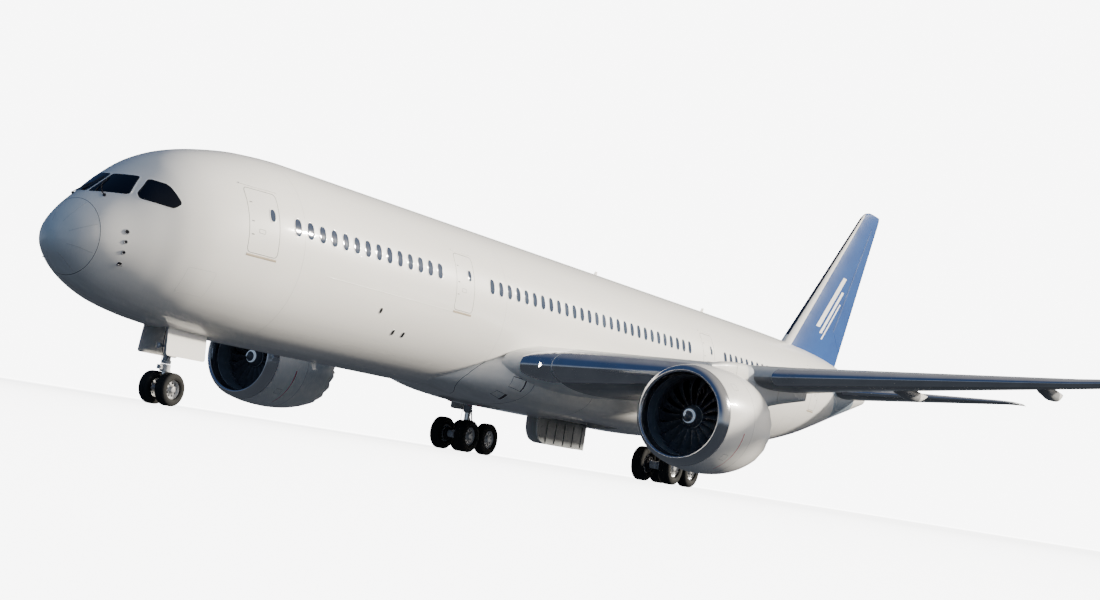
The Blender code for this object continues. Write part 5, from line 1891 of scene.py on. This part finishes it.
def main_leg(side, word):
    """The strut with its piston, side and drag braces, torque links and hoses."""
    x, y = side * MAIN_GEAR_X, MAIN_GEAR_Y
    leg_y = y - 0.35
    _, foot, under = leg_heights(side)
    leg, chrome, lines = Shape(), Shape(), Shape()
    barrel = ((0.0, 0.17), (0.02, 0.20), (0.10, 0.205), (0.12, 0.185), (0.9, 0.185), (0.93, 0.215),
              (1.05, 0.215), (1.08, 0.19), (2.2, 0.20))
    turned(leg, (x, y, foot + 0.88), (x, leg_y, under + 0.25), barrel, 36)
    turned(chrome, (x, y, foot + 0.16), (x, y, foot + 1.0), ((0.0, 0.13), (0.9, 0.13)))
    collar = ((0.0, 0.15), (0.02, 0.175), (0.16, 0.175), (0.20, 0.145), (0.22, 0.135))
    turned(leg, (x, y, foot - 0.02), (x, y, foot + 0.3), collar)
    knee = np.array((x, y, foot + 1.3))
    side_brace = (x - side * 1.25, leg_y - 0.3, under + 0.1)
    drag_brace = (x, leg_y - 2.0, under + 0.25)
    for end in (side_brace, drag_brace):
        rod(leg, knee, end, 0.07)
    side_joint = np.array((x - side * 0.62, leg_y - 0.17, foot + 0.7 + (under - foot) / 2))
    drag_joint = np.array((x, leg_y - 1.02, foot + 0.775 + (under - foot) / 2))
    for spot in (side_joint, drag_joint):
        rod(leg, spot - (0, 0.10, 0), spot + (0, 0.10, 0), 0.085, 18)
    links = ((0.09, 0.12, 0.06), (0.03, 0.42, 0.42), (0.09, 0.14, 0.92))
    for out in (-1, 1):
        path = [(x + out * wide, y + reach, foot + up) for wide, reach, up in links]
        for a, b in zip(path, path[1:]):
            rod(leg, a, b, 0.032, 12)
    rod(leg, (x - 0.10, y + 0.42, foot + 0.42), (x + 0.10, y + 0.42, foot + 0.42), 0.04, 14)
    for away in (0.16, -0.16):
        hose = ((x + away, y - 0.05, foot + 0.12), (x + away * 1.3, y - 0.13, foot + 0.5),
                (x + away * 1.25, y - 0.14, foot + 1.0), (x + away * 1.25, y - 0.16, foot + 1.9),
                (x + away, leg_y - 0.12, under + 0.05))
        tube(lines, line_through(hose, 6), 0.014, 8)
    leg.piece(f"main_leg_skin_{word}", GEAR_PAINT, 40, stands_for=f"main_gear_leg_{word}")
    chrome.piece(f"main_piston_{word}", CHROME, 40, slot=f"main_gear_leg_{word}")
    lines.piece(f"main_hoses_{word}", SEAM, 40, slot=f"main_gear_leg_{word}")


def leg_door(side, word):
    """The small door that the main leg carries."""
    x, leg_y = side * MAIN_GEAR_X, MAIN_GEAR_Y - 0.35
    _, foot, under = leg_heights(side)
    panel_x = x + side * 0.325
    front, rear, low, high = leg_y - 0.55, leg_y + 0.50, foot + 0.95, under - 0.15
    outline = rounded(((front, low), (rear, low), (rear, high), (front, high)), 0.14, 6)
    rings = zip((-0.025, -0.020, 0.020, 0.025), shrunk_outlines(outline, (0.985, 1.0, 1.0, 0.985)))
    panel = Shape().loft([[(panel_x + side * step, *spot) for spot in ring] for step, ring in rings])
    for height in (foot + 1.6, foot + 2.1):
        rod(panel, (x + side * 0.1, leg_y, height), (panel_x, leg_y, height), 0.035, 12)
    panel.piece(f"leg_door_{word}", DOOR_WHITE, 40, slot=f"main_gear_leg_{word}")


def main_gear_door(side, word):
    """The large door on the keel, white outside and grey with ribs inside."""
    inner, _, front, rear, _ = MAIN_WELL
    z = FAIRING[3][3] + 0.05
    x = side * inner
    curved = ((front + 0.05, 0.0), (front + 0.05, -0.35), (front + 0.15, -0.65), (front + 0.42, -0.92),
              (front + 0.9, -1.05))
    outline = line_through(curved, 5) + [np.array((rear - 0.05, -1.05)), np.array((rear - 0.05, 0.0))]
    rings = zip((0.002, 0.006, 0.044, 0.048), shrunk_outlines(outline, (0.985, 1.0, 1.0, 0.985)))
    shell = Shape().loft([[(x + side * step, y, z + height) for y, height in ring] for step, ring in rings])
    rod(shell, (x, front + 0.05, z), (x, rear - 0.05, z), 0.045, 16)
    node = f"main_gear_door_{word}"
    door = shell.build(f"{node}_skin", 30)
    door.data.materials.append(DOOR_WHITE)
    door.data.materials.append(DOOR_INNER)
    for face in door.data.polygons:
        face.material_index = int(side * face.normal.x > 0.5 and face.center.y < model_y(rear - 0.35))
    dress(door, DOOR_WHITE, rides=node, stands_for=node)
    uprights = [(y - 0.02, y + 0.02, -0.98, -0.10, 0.085) for y in spaced(front + 0.9, rear - 0.4, 5)]
    rails = [(front + 0.4, rear - 0.15, height - 0.015, height + 0.015, 0.072) for height in (-0.35, -0.75)]
    ribs = Shape()
    for start, end, low, high, reach in uprights + rails:
        left, right = sorted((x + side * 0.048, x + side * reach))
        ribs.loft(block_points((left, start, z + low), (right, end, z + high)))
    ribs.piece(f"{node}_ribs", DOOR_INNER, 30, rides=node)


NOSE_SPLIT = -3.95


def nose_fork():
    """The steered lower part of the nose leg, with its torque links and towing lug."""
    y, split, axle_z = NOSE_GEAR_Y, NOSE_SPLIT, NOSE_TYRE - CENTRE_HEIGHT
    fork, chrome = Shape(), Shape()
    turned(chrome, (0, y, axle_z + 0.10), (0, y, split - 0.05), ((0.0, 0.085), (0.6, 0.085)), 28)
    collar = ((0.0, 0.12), (0.015, 0.165), (0.22, 0.165), (0.234, 0.15))
    turned(fork, (0, y, split - 0.24), (0, y, split - 0.004), collar)
    rod(fork, (-0.125, y, axle_z), (0.125, y, axle_z), 0.115, 28)
    turned(fork, (0, y, axle_z), (0, y, axle_z + 0.25), ((0.0, 0.12), (0.14, 0.12), (0.20, 0.09)), 28)
    fork.loft(block_points((-0.065, y - 0.30, -4.13), (0.065, y - 0.05, -3.99)))
    rod(fork, (-0.09, y - 0.25, -4.06), (0.09, y - 0.25, -4.06), 0.03, 14)
    knee = (0.34, axle_z + 0.26)
    for start, end in (((0.10, axle_z + 0.10), knee), (knee, (0.14, split - 0.10))):
        for out in (-1, 1):
            rod(fork, (out * 0.06, y + start[0], start[1]), (out * 0.03, y + end[0], end[1]), 0.026, 12)
    rod(fork, (-0.08, y + knee[0], knee[1]), (0.08, y + knee[0], knee[1]), 0.03, 12)
    fork.piece("nose_fork_skin", GEAR_PAINT, 40, rides="nose_gear_fork", stands_for="nose_gear_fork")
    chrome.piece("nose_piston", CHROME, 40, rides="nose_gear_fork")


def nose_leg():
    """The fixed upper part of the nose leg, with its brace, taxi lamps and hoses."""
    y, split, roof = NOSE_GEAR_Y, NOSE_SPLIT, NOSE_WELL[3]
    leg, lines, lamps, glass = Shape(), Shape(), Shape(), Shape()
    barrel = ((0.0, 0.13), (0.02, 0.155), (0.10, 0.155), (0.12, 0.125), (1.0, 0.125), (1.03, 0.15),
              (1.12, 0.15), (1.15, 0.13), (2.04, 0.13))
    turned(leg, (0, y, split + 0.004), (0, y, roof), barrel)
    rod(leg, (0, y, -3.3), (0, y - 0.62, roof - 0.02), 0.05, 18)
    lamp_z = -3.42
    bowl = ((0.0, 0.03), (0.04, 0.075), (0.13, 0.095), (0.15, 0.095))
    pane = ((0.0, 0.085), (0.014, 0.085), (0.022, 0.06))
    for out in (-1, 1):
        rod(leg, (out * 0.30, y - 0.05, lamp_z), (out * 0.02, y - 0.05, lamp_z), 0.03, 12)
        lamp_front = (out * 0.25, y - 0.24, lamp_z)
        turned(lamps, (out * 0.25, y - 0.06, lamp_z), lamp_front, bowl, 28)
        turned(glass, (out * 0.25, y - 0.20, lamp_z), lamp_front, pane, 28)
        hose = ((out * 0.10, y - 0.10, split + 0.1), (out * 0.15, y - 0.10, -3.3),
                (out * 0.13, y - 0.08, -2.7), (out * 0.14, y - 0.05, roof - 0.02))
        tube(lines, line_through(hose, 6), 0.011, 8)
    leg.piece("nose_leg_skin", GEAR_PAINT, 40, stands_for="nose_gear_leg")
    lamps.piece("taxi_lamps", GEAR_PAINT, 40, slot="nose_gear_leg")
    glass.piece("taxi_lamp_glass", LAMP, 40, slot="nose_gear_leg")
    lines.piece("nose_hoses", SEAM, 40, slot="nose_gear_leg")


def nose_gear_doors():
    half, front, rear, _ = NOSE_WELL
    front, rear = front + 0.05, rear - 0.05
    sill = float(HULL.at(5.6)[2])
    outline = rounded(((front, 0.0), (front, 1.0), (rear, 1.0), (rear, 0.0)), 0.12, 6)
    for side, word in SIDES:
        top = np.array((side * (half - 0.05), sill + 0.10))
        low = np.array((side * (half + 0.04), sill - 0.75))
        rings = []
        for step in (0.0, 0.04):
            spots = [(y, *(top + (low - top) * share)) for y, share in outline]
            rings.append([(x - side * step, y, z) for y, x, z in spots])
        door = Shape().loft(rings)
        rod(door, (top[0], front, top[1]), (top[0], rear, top[1]), 0.045, 16)
        door.piece(f"nose_gear_door_{word}_skin", DOOR_WHITE, 30, stands_for=f"nose_gear_door_{word}")


def landing_gear():
    for side, word in SIDES:
        for way, title in ((-1, "front"), (1, "rear")):
            wheel_pair(f"main_wheels_{title}_{word}", side * MAIN_GEAR_X, MAIN_GEAR_Y + way * AXLE_SPACING,
                       MAIN_TYRE, MAIN_TYRE_WIDTH, MAIN_TRACK, 0.075)
        for make in (bogie, main_leg, leg_door, main_gear_door):
            make(side, word)
    wheel_pair("nose_wheels", 0.0, NOSE_GEAR_Y, NOSE_TYRE, NOSE_TYRE_WIDTH, NOSE_TRACK, 0.055)
    nose_fork()
    nose_leg()
    nose_gear_doors()


# Floor, light and camera

SUN_TOWARDS = (0.54, 0.79, 0.29)
SUN_STRENGTH = 13.2
SUN_GLOW = (2.9, 2.6, 2.2)
SKY_SHADE = (0.155, 0.250, 0.410)
GROUND_SHADE = (0.062, 0.073, 0.092)
# What glossy surfaces see of the sky: high up, midway, low down and towards the sun
SHEEN_HIGH = (0.035, 0.070, 0.165)
SHEEN_MIDDLE = (0.28, 0.34, 0.42)
SHEEN_LOW = (0.062, 0.070, 0.084)
SHEEN_GLOW = (0.55, 0.52, 0.48)
GLINT_TOWARDS = (0.548, 0.742, 0.387)
BACKDROP = 8.0
FLOOR_GLOW = 4.6
FLOOR_HALF = 400.0


def floor():
    """A pale floor that fades into the backdrop away from the aircraft."""
    corners = [(x * FLOOR_HALF, y * FLOOR_HALF, 0) for x, y in ((-1, -1), (1, -1), (1, 1), (-1, 1))]
    mesh = bpy.data.meshes.new("floor")
    mesh.from_pydata(corners, [], [(0, 1, 2, 3)])
    ground = bpy.data.objects.new("floor", mesh)
    bpy.context.collection.objects.link(ground)
    material, tree, shader = shader_of("floor_paint")
    grain = noise(tree, spot_node(tree), 0.4, 3.0)
    colour = blend_colours(tree, grain, (0.62, 0.62, 0.62), (0.58, 0.58, 0.58))
    tree.links.new(colour, shader.inputs["Base Color"])
    shader.inputs["Roughness"].default_value = 0.7
    across, along = along_axis(tree, "X"), along_axis(tree, "Y")
    square = arithmetic(tree, "ADD", arithmetic(tree, "MULTIPLY", across, across),
                        arithmetic(tree, "MULTIPLY", along, along))
    far = remap(tree, arithmetic(tree, "SQRT", square), 20.0, 48.0, FLOOR_GLOW, BACKDROP)
    shader.inputs["Emission Color"].default_value = (1.0, 1.0, 1.0, 1.0)
    tree.links.new(far, shader.inputs["Emission Strength"])
    mesh.materials.append(material)
    ground.visible_diffuse = False
    ground.visible_glossy = False


def sky():
    """A pale backdrop, and the light of a low warm sun with cool shade ahead and below."""
    world = bpy.data.worlds.new("studio")
    bpy.context.scene.world = world
    world.use_nodes = True
    tree = world.node_tree
    background = tree.nodes["Background"]
    coordinates = tree.nodes.new("ShaderNodeTexCoord")
    split = tree.nodes.new("ShaderNodeSeparateXYZ")
    tree.links.new(coordinates.outputs["Generated"], split.inputs["Vector"])
    height = split.outputs["Z"]
    dome = blend_colours(tree, remap(tree, height, -0.10, 0.08), GROUND_SHADE, SKY_SHADE)
    towards = tree.nodes.new("ShaderNodeVectorMath")
    towards.operation = "DOT_PRODUCT"
    towards.inputs[1].default_value = SUN_TOWARDS
    tree.links.new(coordinates.outputs["Generated"], towards.inputs[0])
    glow = remap(tree, towards.outputs["Value"], 0.25, 0.98)
    above = remap(tree, height, -0.06, 0.04)
    glow = both(tree, both(tree, glow, glow), above)
    path = tree.nodes.new("ShaderNodeLightPath")
    lit = blend_colours(tree, glow, dome, SUN_GLOW)
    band = blend_colours(tree, remap(tree, height, -0.10, 0.00), SHEEN_LOW, SHEEN_MIDDLE)
    sheen = blend_colours(tree, remap(tree, height, 0.02, 0.30), band, SHEEN_HIGH)
    sunward = remap(tree, towards.outputs["Value"], 0.30, 0.85)
    sheen = blend_colours(tree, both(tree, sunward, above), sheen, SHEEN_GLOW)
    lit = blend_colours(tree, path.outputs["Is Glossy Ray"], lit, sheen)
    seen = blend_colours(tree, path.outputs["Is Camera Ray"], lit, (1.0, 1.0, 1.0))
    tree.links.new(seen, background.inputs["Color"])
    level = remap(tree, path.outputs["Is Camera Ray"], 0.0, 1.0, 1.0, BACKDROP)
    tree.links.new(level, background.inputs["Strength"])


def lamp(name, towards, strength, colour, spread, glints):
    """A far lamp that either lights surfaces or only shows as a glint on them."""
    light = bpy.data.lights.new(name, "SUN")
    light.energy = strength
    light.color = colour
    light.angle = math.radians(spread)
    holder = bpy.data.objects.new(name, light)
    holder.rotation_mode = "QUATERNION"
    holder.rotation_quaternion = (-Vector(towards)).to_track_quat("-Z", "Y")
    holder.location = Vector(towards) * 60
    holder.visible_glossy = glints
    holder.visible_diffuse = not glints
    bpy.context.collection.objects.link(holder)


def light():
    sky()
    lamp("sun", SUN_TOWARDS, SUN_STRENGTH, (1.0, 0.925, 0.80), 3, False)
    lamp("fill", (0.95, 0.20, 0.25), 0.35, (1.0, 0.97, 0.93), 40, False)
    lamp("glint", GLINT_TOWARDS, 5.0, (1.0, 0.95, 0.86), 1.3, True)


def camera():
    """The photo's view from floor level, rolled about the line of sight."""
    turn = math.radians(CAMERA_TURN)
    spot = Vector((math.sin(turn) * CAMERA_DISTANCE, -math.cos(turn) * CAMERA_DISTANCE, CAMERA_HEIGHT))
    data = bpy.data.cameras.new("camera")
    data.lens = CAMERA_LENS
    data.sensor_width = 36.0
    data.clip_end = 2000.0
    eye = bpy.data.objects.new("camera", data)
    bpy.context.collection.objects.link(eye)
    forward = (Vector(CAMERA_AIM) - spot).normalized()
    right = forward.cross(Vector((0, 0, 1))).normalized()
    up = right.cross(forward)
    roll = math.radians(CAMERA_ROLL)
    turned_right = math.cos(roll) * right - math.sin(roll) * up
    turned_up = math.sin(roll) * right + math.cos(roll) * up
    columns = (turned_right, turned_up, -forward, spot)
    eye.matrix_world = Matrix([[column[axis] for column in columns] for axis in range(3)] + [[0, 0, 0, 1]])
    bpy.context.scene.camera = eye


camera()
fuselage()
cabin_windows()
passenger_doors()
seams()
probes()
blade_aerials()
wipers()
tail_exhaust()
fairing()
wings()
tail()
engines()
landing_gear()
floor()
light()
